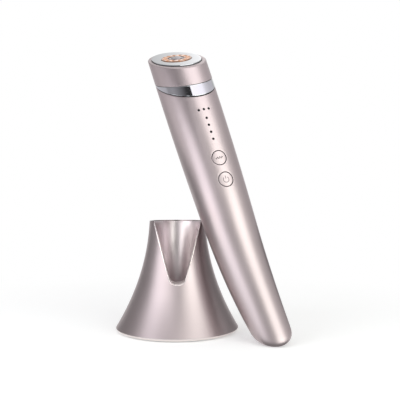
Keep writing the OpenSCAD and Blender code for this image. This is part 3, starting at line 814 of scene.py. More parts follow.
@dataclass
class SlottedShell:
    """A shell turned about Z, open at the top and cut by the slot, with rounded edges."""

    skin_r: Callable[[float], float]
    back_r: Callable[[float], float]
    slot: VSlot
    low_z: float
    top_z: float
    fillet: float
    block_half: float
    row_step: float = 1.1 * MM
    columns: int = 224
    ribbon: int = 12
    corner: float = 1.1 * MM
    corner_steps: int = 8
    edge_steps: int = 5
    floor_margin: float = 3 * MM

    def __post_init__(self) -> None:
        """Sets the rows and the columns beside the slot."""
        last = self.top_z - 2 * self.fillet
        self.rows = [*spaced(self.low_z, last, self.row_step), last]
        self.side_column = round(self.block_half / FULL_TURN * self.columns)
        self.first_row = max(k for k, z in enumerate(self.rows) if z < self.slot.floor_z - self.floor_margin)

    def on(self, radius: Callable[[float], float], spot: Spot) -> Vector:
        """The point of a turned surface's front at a place seen from the front."""
        x, z = spot
        return Vector((x, -math.sqrt(max(0.0, radius(z) ** 2 - x * x)), z))

    def turned(self, radius: float, angle: float, z: float) -> Vector:
        """A point of a turned surface; the angle is from the front, toward +X."""
        return Vector((radius * math.sin(angle), -radius * math.cos(angle), z))

    def skin(self, angle: float, z: float) -> Vector:
        """A point of the shell's shown surface."""
        return self.turned(self.skin_r(z), angle, z)

    def lathe(self, profile: Iterable[Spot]) -> list[Loop]:
        """Loops about Z through places given by radius and height."""
        return [[self.turned(radius, a, z) for a in turns(self.columns)] for radius, z in profile]

    def slot_node(self, place: Callable[[float], Spot]) -> EdgeNode:
        """The edge at a place of the slot's outline.

        Args:
            place: gives the outline's point for a growth.

        Returns:
            The edge's node.
        """
        grown_x, grown_z = place(self.fillet)
        edge = self.on(self.skin_r, place(0.0))
        back = self.on(self.back_r, place(0.0))
        inward = (back - edge).normalized()
        angle = math.asin(min(1.0, grown_x / self.skin_r(grown_z)))
        return EdgeNode(Vector((angle, 0, grown_z)), edge, edge + inward * self.fillet, back)

    def side_node(self, share: float) -> EdgeNode:
        """The edge at a share of the slot's side, from its round corner to the top."""
        return self.slot_node(lambda grow: self.slot.side_point(share, grow, self.top_z))

    def rim_node(self, angle: float, back_angle: float) -> EdgeNode:
        """The edge at a place of the rim.

        Args:
            angle: the place's angle.
            back_angle: angle of the edge's back there.

        Returns:
            The edge's node.
        """
        radius, back = self.skin_r(self.top_z), self.back_r(self.top_z)
        step = math.copysign(self.fillet, back - radius)
        return EdgeNode(
            Vector((angle, 0, self.top_z - self.fillet)),
            self.skin(angle, self.top_z),
            self.turned(radius + step, angle, self.top_z),
            self.turned(back, back_angle, self.top_z),
        )

    def half_edge(self) -> list[EdgeNode]:
        """The edge from the middle of the slot's floor to the back of the rim.

        Returns:
            As many nodes as the grid's border has on this half, with both ends.
        """
        # Along the slot's floor
        shares = [i / self.side_column for i in range(self.side_column)]
        bottom = [self.slot_node(functools.partial(self.slot.floor_point, share)) for share in shares]
        # Up its side, to where the corner at the rim starts
        count = len(self.rows) - 1 - self.first_row - self.corner_steps // 2
        stop = 1 - self.corner / (self.top_z - self.slot.floor_z)
        sides = [self.side_node(stop * i / count) for i in range(count + 1)]
        # The corner as it would be without its rounding
        top = self.side_node(1.0)
        turn = math.atan2(top.edge.x, -top.edge.y)
        back_turn = math.atan2(top.back.x, -top.back.y)
        key = self.rim_node(turn, back_turn)
        corner = EdgeNode(Vector((top.skin.x, 0, key.skin.z)), key.edge, (top.wall + key.wall) / 2, top.back)
        # Round the rim, to its back
        first = turn + self.corner / self.skin_r(self.top_z)
        steps = self.columns // 2 - self.side_column - self.corner_steps // 2
        spread = (math.pi - back_turn) / (math.pi - turn)
        left = [(math.pi - first) * (1 - i / steps) for i in range(steps + 1)]
        rim = [self.rim_node(math.pi - angle, math.pi - angle * spread) for angle in left]
        return [*bottom, *sides[:-1], *blended(sides[-1], corner, rim[0], self.corner_steps), *rim[1:]]

    def border(self) -> list[tuple[int, int]]:
        """Row and column of the grid's border round the slot and the rim, in the edge's order.

        Returns:
            The places, closed.
        """
        top, side, low = len(self.rows) - 1, self.side_column, self.first_row
        half = [(low, c) for c in range(side)]
        half += [(k, side) for k in range(low, top)]
        half += [(top, c) for c in range(side, self.columns // 2 + 1)]
        return half + [(k, -c % self.columns) for k, c in reversed(half[1:-1])]

    def build(self, draft: Draft, lip: Draft) -> tuple[list[int], list[int]]:
        """Adds the shell's shown surface and its edge.

        Args:
            draft: the draft that gets the surface.
            lip: the draft that gets the rounded edge; it may be the same one.

        Returns:
            Numbers of the lowest row's points and, in the lip's draft, of the edge's last loop.
        """
        # The turned surface, with a gap for the slot
        grid = [draft.loop(loop) for loop in self.lathe((self.skin_r(z), z) for z in self.rows)]
        gap = {c % self.columns for c in range(-self.side_column, self.side_column)}
        for k, (low, high) in enumerate(zip(grid, grid[1:])):
            draft.bridge(low, high, gap if k >= self.first_row else ())
        # From the gap's border to the edge, and round the edge
        half = self.half_edge()
        nodes = half + [n.mirrored() for n in reversed(half[1:-1])]
        border = self.border()
        loops = [self.between(border, nodes, step / self.ribbon) for step in range(1, self.ribbon + 1)]
        draft.stack(loops, [grid[k][c] for k, c in border])
        rounds = [rounded(self.skin(n.skin.x, n.skin.z), n.edge, n.wall, self.edge_steps) for n in nodes]
        return grid[0], lip.stack([*zip(*rounds), [n.back for n in nodes]])

    def between(self, border: Sequence[tuple[int, int]], nodes: Sequence[EdgeNode], share: float) -> Loop:
        """Points of the surface between the grid's border and the edge.

        Args:
            border: the border's rows and columns.
            nodes: the edge's nodes.
            share: 0 at the border, 1 at the edge.

        Returns:
            The points.
        """
        points = []
        for (row, column), node in zip(border, nodes):
            turn = FULL_TURN * column / self.columns
            if turn > math.pi:
                turn -= FULL_TURN
            if node.skin.x > math.pi - TINY:
                turn = math.pi
            angle = turn + (node.skin.x - turn) * share
            height = self.rows[row] + (node.skin.z - self.rows[row]) * share
            points.append(self.skin(angle, height))
        return points


@dataclass
class Stand:
    """The bell with its V-shaped slot, and the socket's liner."""

    height: float = 68.9 * MM
    base_r: float = 39.78 * MM
    rim_r: float = 17.7 * MM
    flare_power: float = 2.1
    flare_curl: float = 0.84
    wall: float = 2.4 * MM
    skirt_lift: float = 0.6 * MM
    base_round: float = 1.4 * MM
    lip_round: float = 0.65 * MM
    lip_tuck: float = 1 * MM
    lip_block: float = math.radians(61)
    tuck_side_x: float = 3 * MM
    socket_top_r: float = 14.9 * MM
    socket_low_r: float = 10.5 * MM
    socket_floor_z: float = 14 * MM
    socket_round: float = 1 * MM
    liner_wall: float = 1.2 * MM
    liner_drop: float = 0.6 * MM
    liner_round: float = 0.25 * MM
    liner_corner: float = 0.5 * MM
    liner_block: float = math.radians(92)
    liner_ribbon: int = 10
    round_steps: int = 6
    slot: VSlot = field(default_factory=VSlot)
    # The socket's lacquer is a lighter copy of the rose: painted light for the highlights inside the socket.
    inside: ClassVar[Finish] = SatinRose("socket_lacquer_painted_light", (0.7, 0.63, 0.64), 0.33, 1.0)
    # A lighter lacquer that paints highlights on the lips and the base edge, with painted shade at the rim.
    polished: ClassVar[Finish] = PaintedHighlightEdge("edge_painted_highlight", (0.8, 0.74, 0.72), 0.24, 1.0)

    def bell_r(self, z: float) -> float:
        """Radius of the bell's outside at a height.

        Args:
            z: the height.

        Returns:
            The radius.
        """
        t = 1 - z / self.height
        share = self.flare_curl * t**self.flare_power + (1 - self.flare_curl) * t
        return self.rim_r + (self.base_r - self.rim_r) * share

    def socket_r(self, z: float) -> float:
        """Radius of the socket at a height."""
        share = (z - self.socket_floor_z) / (self.height - self.socket_floor_z)
        return self.socket_low_r + (self.socket_top_r - self.socket_low_r) * share

    def liner_back_r(self, z: float) -> float:
        """Radius of the liner's back at a height."""
        return self.socket_r(z) + self.liner_wall

    def build(self) -> None:
        """Builds the bell and the liner."""
        self.build_bell()
        self.build_liner()

    def build_bell(self) -> None:
        """Builds the bell's outside, lips and base edge."""
        edge_z = self.skirt_lift + self.base_round
        shell = SlottedShell(
            self.bell_r, self.liner_back_r, self.slot, edge_z, self.height, self.lip_round, self.lip_block)
        draft, lip, base = Draft(), Draft(), Draft()
        _, last = shell.build(draft, lip)
        lip.stack([[self.tuck(lip.points[i]) for i in last]], last)
        # The lips and the base edge get the painted highlight of the lighter lacquer.
        lip.piece("bell_lip", Body.STAND, Slot.ROSE, self.polished)
        draft.piece("bell", Body.STAND, Slot.ROSE, ROSE, "stand_shell")
        radius = self.bell_r(edge_z)
        inner = radius - self.wall
        curve = bend((radius, self.skirt_lift), (0, self.base_round), (-self.base_round, 0), self.round_steps)
        base.stack(shell.lathe([*curve, (inner, self.skirt_lift), (inner, edge_z)]))
        base.piece("bell_base_edge", Body.STAND, Slot.ROSE, self.polished)

    def tuck(self, point: Vector) -> Vector:
        """Moves a point of the lip's last loop behind the liner.

        Args:
            point: the point.

        Returns:
            A point further into the bell, on the liner's back.
        """
        if point.z > self.height - TINY:
            return point - Vector((0, 0, self.lip_tuck))
        side = math.copysign(self.lip_tuck, point.x) if abs(point.x) > self.tuck_side_x else 0.0
        lower = point.z - (self.lip_tuck if abs(point.x) < self.slot.low_half else 0.0)
        x = point.x + side
        return Vector((x, -math.sqrt(max(0.0, self.liner_back_r(lower) ** 2 - x * x)), lower))

    def build_liner(self) -> None:
        """Builds the socket's liner."""
        shell = SlottedShell(
            self.socket_r, self.liner_back_r, self.slot, self.socket_floor_z + self.socket_round,
            self.height - self.liner_drop, self.liner_round, self.liner_block,
            ribbon=self.liner_ribbon, corner=self.liner_corner)
        draft = Draft()
        low, _ = shell.build(draft, draft)
        corner, r = (self.socket_r(shell.low_z), self.socket_floor_z), self.socket_round
        curve = bend(corner, (0, r), (-r, 0), self.round_steps - 1)[1:]
        draft.close(draft.stack(shell.lathe(curve), low))
        draft.piece("socket_lining", Body.STAND, Slot.ROSE_INNER, self.inside, "socket_liner")


# The wand


@dataclass(frozen=True)
class Plane:
    """A plane across the wand, slanted toward its buttons."""

    height: float
    slant: float
    turn: float = 0.0

    def z(self, x: float, y: float = 0.0) -> float:
        """Its height over a place."""
        return self.height - math.tan(self.slant) * (x * math.cos(self.turn) + y * math.sin(self.turn))


@dataclass(frozen=True)
class Crest:
    """The higher of a plane and a lifted copy of a lower plane, blended where they cross."""

    high: Plane
    low: Plane
    lift: float
    blend: float = 0.6 * MM

    def z(self, x: float, y: float = 0.0) -> float:
        """Its height over a place."""
        high, low = self.high.z(x, y), self.low.z(x, y) + self.lift
        return (high + low + math.hypot(high - low, self.blend)) / 2


def collar(radius: float, plane: Plane | Crest, rise: float, sides: int) -> Loop:
    """Points of a ring round the wand's axis, at a rise over a slanted plane or a crest."""
    return [Vector((p.x, p.y, plane.z(p.x, p.y) + rise)) for p in ring(radius, 0.0, sides)]


@dataclass(frozen=True)
class WandForm:
    """The wand's skin: a taper from head to foot, bent and slanted at the foot."""

    length: float = 186 * MM
    head_r: float = 18.25 * MM
    foot_r: float = 11.15 * MM
    taper_power: float = 2.3
    foot_bend: float = 11 * MM
    bend_len: float = 70 * MM
    foot_slant: float = math.radians(34)
    slant_len: float = 37 * MM
    foot_round: float = 6.5 * MM
    foot_power: float = 3.0
    foot_trim: float = 0.23 * MM
    wall: float = 1.8 * MM
    project_passes: int = 6
    seal_plane: Plane = Plane(167.4 * MM, math.radians(43))
    band_plane: Plane = Plane(170.2 * MM, math.radians(33.5), math.radians(-2.6))
    face_plane: Plane = Plane(186 * MM, math.radians(40.5))

    def radius(self, s: float) -> float:
        """Radius at a height, trimmed near the foot to stay inside the frame's own flat-sided foot.

        Args:
            s: the height.

        Returns:
            The radius.
        """
        share = max(0.0, 1 - s / self.length) ** self.taper_power
        trim = self.foot_trim * max(0.0, 1 - s / self.slant_len)
        return self.head_r - (self.head_r - self.foot_r) * share - trim

    def middle(self, s: float) -> float:
        """How far the middle line lies toward the buttons' side at a height."""
        return self.foot_bend * max(0.0, 1 - s / self.bend_len) ** 2

    def slope(self, s: float) -> float:
        """Rise of a cross-section per distance toward the back at a height."""
        return math.tan(self.foot_slant) * max(0.0, 1 - s / self.slant_len) ** 2

    def share(self, s: float) -> float:
        """Share of the radius that the rounded foot has at a height."""
        t = max(0.0, 1 - s / self.foot_round)
        return (1 - t**self.foot_power) ** (1 / self.foot_power)

    def skin(self, s: float, angle: float) -> Vector:
        """A point of the skin.

        Args:
            s: height of its cross-section.
            angle: angle about the middle line from the buttons' side.

        Returns:
            The point in the wand's frame.
        """
        reach = self.radius(s) * self.share(s)
        x, y = reach * math.cos(angle), reach * math.sin(angle)
        return Vector((self.middle(s) + x, y, s - self.slope(s) * x))

    def project(self, y: float, z: float, side: Side = Side.FRONT, inset: float = 0.0) -> Vector:
        """The point of the skin in front of or behind a place seen from the buttons' side.

        Args:
            y: the place's distance to the side.
            z: its height.
            side: the side of the wand.
            inset: depth below the skin, square to the wand's axis.

        Returns:
            The point in the wand's frame.
        """
        s = z
        for _ in range(self.project_passes):
            reach = self.radius(s) - inset
            across = side.value * math.sqrt(max(0.0, reach * reach - y * y))
            s = z + self.slope(s) * across
        return Vector((self.middle(s) + across, y, z))


@dataclass(frozen=True)
class Opening:
    """A round or long hole in the wand's wall, square to its axis."""

    y: float
    z: float
    radius: float
    straight: float = 0.0
    side: Side = Side.FRONT
    bevel: float = 0.12 * MM
    margin: float = 0.45 * MM

    @property
    def reach(self) -> float:
        """Distance from its middle to the border of its block, up and down."""
        return self.radius + self.bevel + self.margin

    def nearest(self, y: float, z: float, grow: float) -> Spot:
        """The nearest point of the outline, grown.

        Args:
            y: a place's distance to the side.
            z: its height.
            grow: distance that the outline is moved outward.

        Returns:
            The outline's point.
        """
        core = self.y + max(-self.straight, min(self.straight, y - self.y))
        turn = math.atan2(z - self.z, y - core)
        reach = self.radius + grow
        return core + reach * math.cos(turn), self.z + reach * math.sin(turn)


@dataclass
class WandBody:
    """The long body with its openings, the neck's seal, and the rounded foot.

    Its level rows lie closer where it bends and where the openings are; each zone has its upper end
    and its largest step.
    """

    form: WandForm
    place: Matrix
    openings: Sequence[Opening]
    columns: int = 256
    edge: float = 0.25 * MM
    edge_steps: int = 4
    top_gap: float = 0.25 * MM
    seal_inset: float = 0.5 * MM
    seal_middle_inset: float = 0.4 * MM
    foot_rings: int = 12
    neck_rows: int = 14
    neck_depth: float = 9 * MM
    patch_steps: int = 3
    bevel_turns: ClassVar[tuple[int, ...]] = (30, 60, 90)
    zones: ClassVar[tuple[Spot, ...]] = (
        (24 * MM, 1.2 * MM), (36 * MM, 0.6 * MM), (88 * MM, 1.6 * MM), (146 * MM, 0.55 * MM))

    def __post_init__(self) -> None:
        """Sets the heights of the grid's rows."""
        flats = [math.cos(math.pi / 2 * i / self.foot_rings) for i in range(1, self.foot_rings)]
        self.rows = [self.form.foot_round * (1 - flat ** (2 / self.form.foot_power)) for flat in flats]
        start = self.form.foot_round
        for end, step in self.zones:
            self.rows += spaced(start, end, step)
            start = end
        self.rows.append(start)

    def build(self) -> None:
        """Builds the body and the neck's seal."""
        draft = Draft(self.place)
        grid = [draft.loop(self.form.skin(s, a) for a in turns(self.columns)) for s in self.rows]
        cut: set[tuple[int, int]] = set()
        for opening in self.openings:
            cut |= self.cut(draft, grid, opening)
        for k, (low, high) in enumerate(zip(grid, grid[1:])):
            draft.bridge(low, high, {column for row, column in cut if row == k})
        draft.tip(grid[0], self.form.skin(0.0, 0.0))
        draft.stack(self.neck_loops(), grid[-1])
        draft.piece("long_body", Body.WAND, Slot.ROSE, ROSE, "body_shell")
        self.build_seal()

    def cut(self, draft: Draft, grid: list[list[int]], opening: Opening) -> set[tuple[int, int]]:
        """Fits an opening into the grid with rings that follow the skin.

        Args:
            draft: the body's draft.
            grid: numbers of the grid's points by row and column.
            opening: the opening.

        Returns:
            Rows and columns of the cells that it takes out.
        """
        # The block of cells that the opening takes out
        low = max(k for k, s in enumerate(self.rows) if s <= opening.z - opening.reach)
        high = min(k for k, s in enumerate(self.rows) if s >= opening.z + opening.reach)
        radius, step = self.form.radius(opening.z), FULL_TURN / self.columns
        turn = math.asin(opening.y / radius)
        half = math.asin((opening.reach + opening.straight) / radius)
        if opening.side is Side.BACK:
            turn = math.pi - turn
        left, right = math.floor((turn - half) / step), math.ceil((turn + half) / step)
        # The block's border, all the way round
        border = [(low, c) for c in range(left, right)]
        border += [(k, right) for k in range(low, high)]
        border += [(high, c) for c in range(right, left, -1)]
        border += [(k, left) for k in range(high, low, -1)]
        # Rings from the border to the bevel, and on into the opening
        last = [grid[k][c % self.columns] for k, c in border]
        spots = [draft.points[i].yz for i in last]
        goals = [Vector(opening.nearest(*spot, opening.bevel)) for spot in spots]
        loops = []
        for i in range(1, self.patch_steps + 1):
            share = i / self.patch_steps
            places = [spot + (goal - spot) * share for spot, goal in zip(spots, goals)]
            loops.append([self.form.project(*place, opening.side) for place in places])
        draft.stack([*loops, *self.bore_loops(opening, goals)], last)
        return {(k, c % self.columns) for k in range(low, high) for c in range(left, right)}

    def bore_loops(self, opening: Opening, goals: Sequence[Vector]) -> list[Loop]:
        """The bevel and the wall of an opening.

        Args:
            opening: the opening.
            goals: points of the bevel's outer edge.

        Returns:
            Loops from the bevel down to the wall's inner face.
        """
        angles = [math.radians(turn) for turn in self.bevel_turns]
        steps = [(opening.bevel * (1 - math.sin(a)), opening.bevel * (1 - math.cos(a))) for a in angles]
        return [self.sunk_loop(opening, goals, *step) for step in [*steps, (0.0, self.form.wall)]]

    def sunk_loop(self, opening: Opening, goals: Sequence[Vector], grow: float, depth: float) -> Loop:
        """A loop below the skin round an opening whose outline is grown, with a point for each goal."""
        places = [self.form.project(*opening.nearest(*goal, grow), opening.side) for goal in goals]
        return [place - Vector((opening.side.value * depth, 0, 0)) for place in places]

    def neck_loops(self) -> list[Loop]:
        """Loops from the last level row up to the slanted top and down inside it.

        Returns:
            The loops.
        """
        rows, wall, edge = self.neck_rows, self.form.wall, self.edge
        loops = [[self.neck_point(a, i / rows) for a in turns(self.columns)] for i in range(1, rows + 1)]
        outer = bend((0, 0), (0, -edge), (edge, 0), self.edge_steps)[1:]
        profile = [*outer, (wall - edge, 0.0), (wall, -edge), (wall, -self.neck_depth)]
        return loops + [[self.top_point(a, *step) for a in turns(self.columns)] for step in profile]

    def top_point(self, angle: float, inset: float, rise: float) -> Vector:
        """A point of the body's slanted top.

        Args:
            angle: angle about the axis.
            inset: distance inward from the skin.
            rise: height over the plane.

        Returns:
            The point in the wand's frame.
        """
        x = self.form.head_r * math.cos(angle)
        z = self.form.seal_plane.z(x) - self.top_gap + rise
        reach = self.form.radius(z) - inset
        return Vector((reach * math.cos(angle), reach * math.sin(angle), z))

    def neck_point(self, angle: float, share: float) -> Vector:
        """A point of the skin at a share of the way from the last level row to the slanted top."""
        top, low = self.top_point(angle, 0.0, -self.edge).z, self.rows[-1]
        return self.form.skin(low + (top - low) * share, angle)

    def build_seal(self) -> None:
        """Builds the dark seal in the groove below the chrome band."""
        draft = Draft(self.place)
        r, gap, plane = self.form.head_r, self.top_gap, self.form.seal_plane
        inner, outer, middle = r - self.form.wall, r - self.seal_inset, r - self.seal_middle_inset
        profile = [(inner, -gap), (outer, -gap), (middle, 0.0), (outer, gap), (inner, gap)]
        draft.stack([collar(radius, plane, rise, self.columns) for radius, rise in profile])
        draft.piece("neck_gasket", Body.WAND, Slot.RUBBER, SOFT_BLACK, "neck_seal")


@dataclass
class Head:
    """The chrome band, the cap, and the face with its plate, amber ring and centre contact."""

    form: WandForm
    place: Matrix
    sides: int = 256
    gap: float = 0.25 * MM
    cap_gap: float = 0.15 * MM
    cap_round: float = 0.4 * MM
    band_least: float = 0.8 * MM
    band_round: float = 0.2 * MM
    edge_steps: int = 4
    rim_round: float = 0.9 * MM
    rim_steps: int = 8
    rim_inner_round: float = 0.2 * MM
    rim_inner_steps: int = 3
    face_hole_r: float = 15.8 * MM
    lip_depth: float = 2.4 * MM
    plate_r: float = 15.65 * MM
    plate_t: float = 1.4 * MM
    plate_rise: float = 0.75 * MM
    plate_round: float = 0.2 * MM
    plate_steps: int = 5
    plate_rings: int = 5
    gasket_r: float = 15.7 * MM
    gasket_rise: float = 0.52 * MM
    lens_hole_r: float = 10.15 * MM
    lens_hole_bevel: float = 0.2 * MM
    lens_r: float = 10 * MM
    lens_inner_r: float = 5.25 * MM
    lens_proud: float = 1.15 * MM
    lens_depth: float = 1.4 * MM
    lens_round: float = 0.3 * MM
    lens_rings: int = 12
    petals: int = 12
    petal_depth: float = 0.5 * MM
    centre_r: float = 5.1 * MM
    centre_proud: float = 1.8 * MM
    centre_round: float = 0.2 * MM
    centre_sides: int = 128
    dome_rings: int = 9
    groove_insets: tuple[float, ...] = (0.9 * MM, 1.1 * MM, 1.3 * MM)
    groove_depth: float = 0.1 * MM
    wall_shares: tuple[float, ...] = (0.03, 0.1, 0.3, 0.5, 0.7, 0.9, 0.97)
    chrome: ClassVar[Finish] = Chrome("bright_chrome", (0.56, 0.57, 0.59), 0.06, 1.0)
    contact: ClassVar[Finish] = TurnedMetal("polished_contact", (0.38, 0.36, 0.38), 0.16, 1.0)
    # Its colours paint the glow of the lamps behind the ring.
    amber: ClassVar[Finish] = AmberLens("amber_glass", (0.68, 0.28, 0.12), 0.12, 0.55, 0.6)

    def build(self) -> None:
        """Builds the head's pieces."""
        self.build_band()
        self.build_cap()
        self.build_gasket()
        self.build_plate()
        self.build_lens()
        self.build_centre()

    def face_frame(self) -> Matrix:
        """The frame on the face, with Z square to it and X toward the buttons' side and down."""
        turn = Matrix.Rotation(self.form.face_plane.slant, 4, "Y")
        return Matrix.Translation((0, 0, self.form.face_plane.height)) @ turn

    def crest(self) -> Crest:
        """The border between the band and the cap."""
        return Crest(self.form.band_plane, self.form.seal_plane, self.gap + self.band_least)

    def collars(self, plane: Plane | Crest, profile: Iterable[Spot]) -> list[Loop]:
        """Rings round the wand's axis through places given by radius and rise over a plane or a crest."""
        return [collar(radius, plane, rise, self.sides) for radius, rise in profile]

    def sleeve(self, lower: list[Loop], upper: list[Loop]) -> Draft:
        """Drafts a sleeve with a straight wall.

        Args:
            lower: loops of its foot, from the inside to the wall.
            upper: loops of its top, from the wall to the inside.

        Returns:
            The draft.
        """
        draft = Draft(self.place)
        draft.stack([*lower, *between_loops(lower[-1], upper[0], self.wall_shares), *upper])
        return draft

    def build_band(self) -> None:
        """Builds the wedge-shaped chrome band."""
        r, b, gap = self.form.head_r, self.band_round, self.gap
        inner = r - self.form.wall
        foot = [(inner, gap), *bend((r, gap), (-b, 0), (0, b), self.edge_steps)]
        top = [*bend((r, 0), (0, -b), (-b, 0), self.edge_steps), (inner, 0.0)]
        sleeve = self.sleeve(self.collars(self.form.seal_plane, foot), self.collars(self.crest(), top))
        sleeve.piece("wedge_band", Body.WAND, Slot.CHROME, self.chrome, "chrome_band")

    def build_cap(self) -> None:
        """Builds the rose cap with its rounded rim."""
        r, f, c, gap = self.form.head_r, self.rim_round, self.cap_round, self.cap_gap
        hole, b = self.face_hole_r, self.rim_inner_round
        foot = [(r - self.form.wall, gap), *bend((r, gap), (-c, 0), (0, c), self.edge_steps)]
        rim = bend((r, 0), (0, -f), (-f, 0), self.rim_steps)
        lip = bend((hole, 0), (b, 0), (0, -b), self.rim_inner_steps)
        top = [*rim, *lip, (hole, -self.lip_depth)]
        sleeve = self.sleeve(self.collars(self.crest(), foot), self.collars(self.form.face_plane, top))
        sleeve.piece("face_cap", Body.WAND, Slot.ROSE, ROSE, "head_cap")

    def build_gasket(self) -> None:
        """Builds the dark gasket between the cap's rim and the raised plate, which also stands in for the
        shade in the gap along the plate's edge.
        """
        draft = Draft(self.place)
        inner, rise = self.gasket_r - self.form.wall, self.gasket_rise
        profile = [(self.gasket_r, -self.plate_t), (self.gasket_r, rise), (inner, rise)]
        draft.stack(self.collars(self.form.face_plane, profile))
        draft.piece("face_gasket_shade", Body.WAND, Slot.RUBBER, SOFT_BLACK)

    def build_plate(self) -> None:
        """Builds the chrome face plate with its round hole."""
        draft = Draft(self.place)
        r, b, slant = self.plate_r, self.plate_round, self.form.face_plane.slant
        plane = Plane(self.form.face_plane.height + self.plate_rise / math.cos(slant), slant)
        edge = bend((r, 0), (0, -b), (-b, 0), self.plate_steps)
        loops = self.collars(plane, [(r, -self.plate_t), *edge])
        # The hole is square to the face, while the outline is square to the wand's axis
        frame = self.face_frame() @ Matrix.Translation((0, 0, self.plate_rise))
        hole, bevel = self.lens_hole_r, self.lens_hole_bevel
        profile = [(hole + bevel, 0.0), (hole, -bevel), (hole, -self.plate_t)]
        rim, *bore = [[frame @ p for p in ring(radius, z, self.sides)] for radius, z in profile]
        shares = [i / self.plate_rings for i in range(1, self.plate_rings + 1)]
        draft.stack([*loops, *between_loops(loops[-1], rim, shares), *bore])
        draft.piece("chrome_face", Body.WAND, Slot.CHROME, self.chrome, "face_plate")

    def build_lens(self) -> None:
        """Builds the amber ring of petals, whose colour paints the glow of the lamps below it."""
        frame = self.place @ self.face_frame()
        draft = Draft(frame)
        r, low, top, b = self.lens_r, -self.lens_depth, self.lens_proud, self.lens_round
        edge = bend((r, top), (0, -b), (-b, 0), self.edge_steps)
        loops = [self.petal_ring(*spot) for spot in [(r, low), *edge]]
        for i in range(1, self.lens_rings + 1):
            share = i / self.lens_rings
            radius = r - b + (self.lens_inner_r - r + b) * share
            loops.append(self.petal_ring(radius, top, math.sin(math.pi * share)))
        draft.stack([*loops, self.petal_ring(self.lens_inner_r, low)])
        across, aside, _, middle = (tuple(column.xyz) for column in frame.col)
        finish = replace(self.amber, middle=middle, across=across, aside=aside, petals=self.petals)
        draft.piece("glow_ring", Body.WAND, Slot.AMBER, finish, "lens_ring")

    def petal_ring(self, radius: float, height: float, depth: float = 0.0) -> Loop:
        """A ring of the lens, sunk between its petals.

        Args:
            radius: the ring's radius.
            height: its height over the face.
            depth: share of the petals' depth.

        Returns:
            The points in the face's frame.
        """
        points = ring(radius, height, self.sides)
        for point, turn in zip(points, turns(self.sides)):
            wave = math.sin(turn * self.petals)
            point.z -= self.petal_depth * depth * (0.5 - 0.5 * wave) ** 2
        return points

    def build_centre(self) -> None:
        """Builds the domed centre contact with its turned groove."""
        draft = Draft(self.place @ self.face_frame())
        r, rim, top, b = self.centre_r, self.centre_proud / 2, self.centre_proud, self.centre_round
        # The side, the flat border with its groove, and the dome
        start, floor, dome = (r - inset for inset in self.groove_insets)
        profile = [(r, -self.lens_depth), (r, rim - b), (r - b, rim)]
        profile += [(start, rim), (floor, rim - self.groove_depth), (dome, rim)]
        for i in range(1, self.dome_rings):
            turn = math.pi / 2 * i / self.dome_rings
            profile.append((dome * math.cos(turn), rim + (top - rim) * math.sin(turn)))
        last = draft.stack([ring(radius, z, self.centre_sides) for radius, z in profile])
        draft.tip(last, Vector((0, 0, top)))
        draft.piece("centre_contact", Body.WAND, Slot.CHROME, self.contact, "centre_electrode")


@dataclass(frozen=True)
class Mark:
    """A thin printed mark made of strokes, each a line of points seen from the buttons' side."""

    name: str
    strokes: tuple[tuple[Spot, ...], ...]
    width: float = 0.36 * MM
    thickness: float = 0.02 * MM
    ink: ClassVar[Finish] = Grained("grey_ink", (0.06, 0.053, 0.056), 0.5, grain=2500.0)

    def build(self, form: WandForm, place: Matrix, middle: Vector, body: Body, inset: float) -> None:
        """Lays the strokes on the skin.

        Args:
            form: the wand's form.
            place: the wand's place.
            middle: the mark's middle, to the side and up.
            body: the body that it rides on.
            inset: depth of the surface below the skin.
        """
        draft = Draft(place)
        for stroke in self.strokes:
            self.lay(draft, form, [Vector(p) + middle for p in stroke], inset)
        draft.piece(self.name, body, Slot.GLOSS_BLACK, self.ink)

    def lay(self, draft: Draft, form: WandForm, line: Sequence[Vector], inset: float) -> None:
        """Lays one stroke as a flat band with sides and an end face at both ends.

        Args:
            draft: the mark's draft.
            form: the wand's form.
            line: the stroke's points, to the side and up.
            inset: depth of the surface below the skin.
        """
        sections = []
        for before, point, after in zip([line[0], *line], line, [*line[1:], line[-1]]):
            ahead = after - before
            aside = Vector((-ahead.y, ahead.x)).normalized() * self.width / 2
            corners = [(point + aside, 0.0), (point + aside, self.thickness),
                       (point - aside, self.thickness), (point - aside, 0.0)]
            sections.append([form.project(*place, inset=inset - rise) for place, rise in corners])
        first = draft.loop(sections[0])
        draft.close(draft.stack(sections[1:], first))
        # The face at the start is one corner further on, so it slants inside the ink, unseen
        draft.close([corner + 1 for corner in first])


def arc(middle: Spot, radius: float, start: float, end: float, steps: int = 20) -> tuple[Spot, ...]:
    """Points of an arc from a start angle to an end angle, in degrees."""
    angles = [math.radians(start + (end - start) * i / steps) for i in range(steps + 1)]
    return tuple((middle[0] + radius * math.cos(a), middle[1] + radius * math.sin(a)) for a in angles)


def power_mark(radius: float = 1.75 * MM, drop: float = 0.2 * MM, half_gap: float = 35.0,
               bar: Spot = (0.3 * MM, 2.2 * MM)) -> Mark:
    """The power symbol: a ring with a gap at the top, in degrees, and a bar from one height to another."""
    circle = arc((0.0, -drop), radius, 90 + half_gap, 450 - half_gap)
    return Mark("power_mark", (circle, tuple((0.0, z) for z in bar)))


def level_mark(half: float = 2.3 * MM, swing: float = 0.55 * MM, waves: int = 3, steps: int = 48) -> Mark:
    """A wave for the current's level, with half of its length and its swing from its middle line."""
    shares = [2 * i / steps - 1 for i in range(steps + 1)]
    return Mark("level_mark", (tuple((half * t, swing * math.sin(math.pi * waves * t)) for t in shares),))


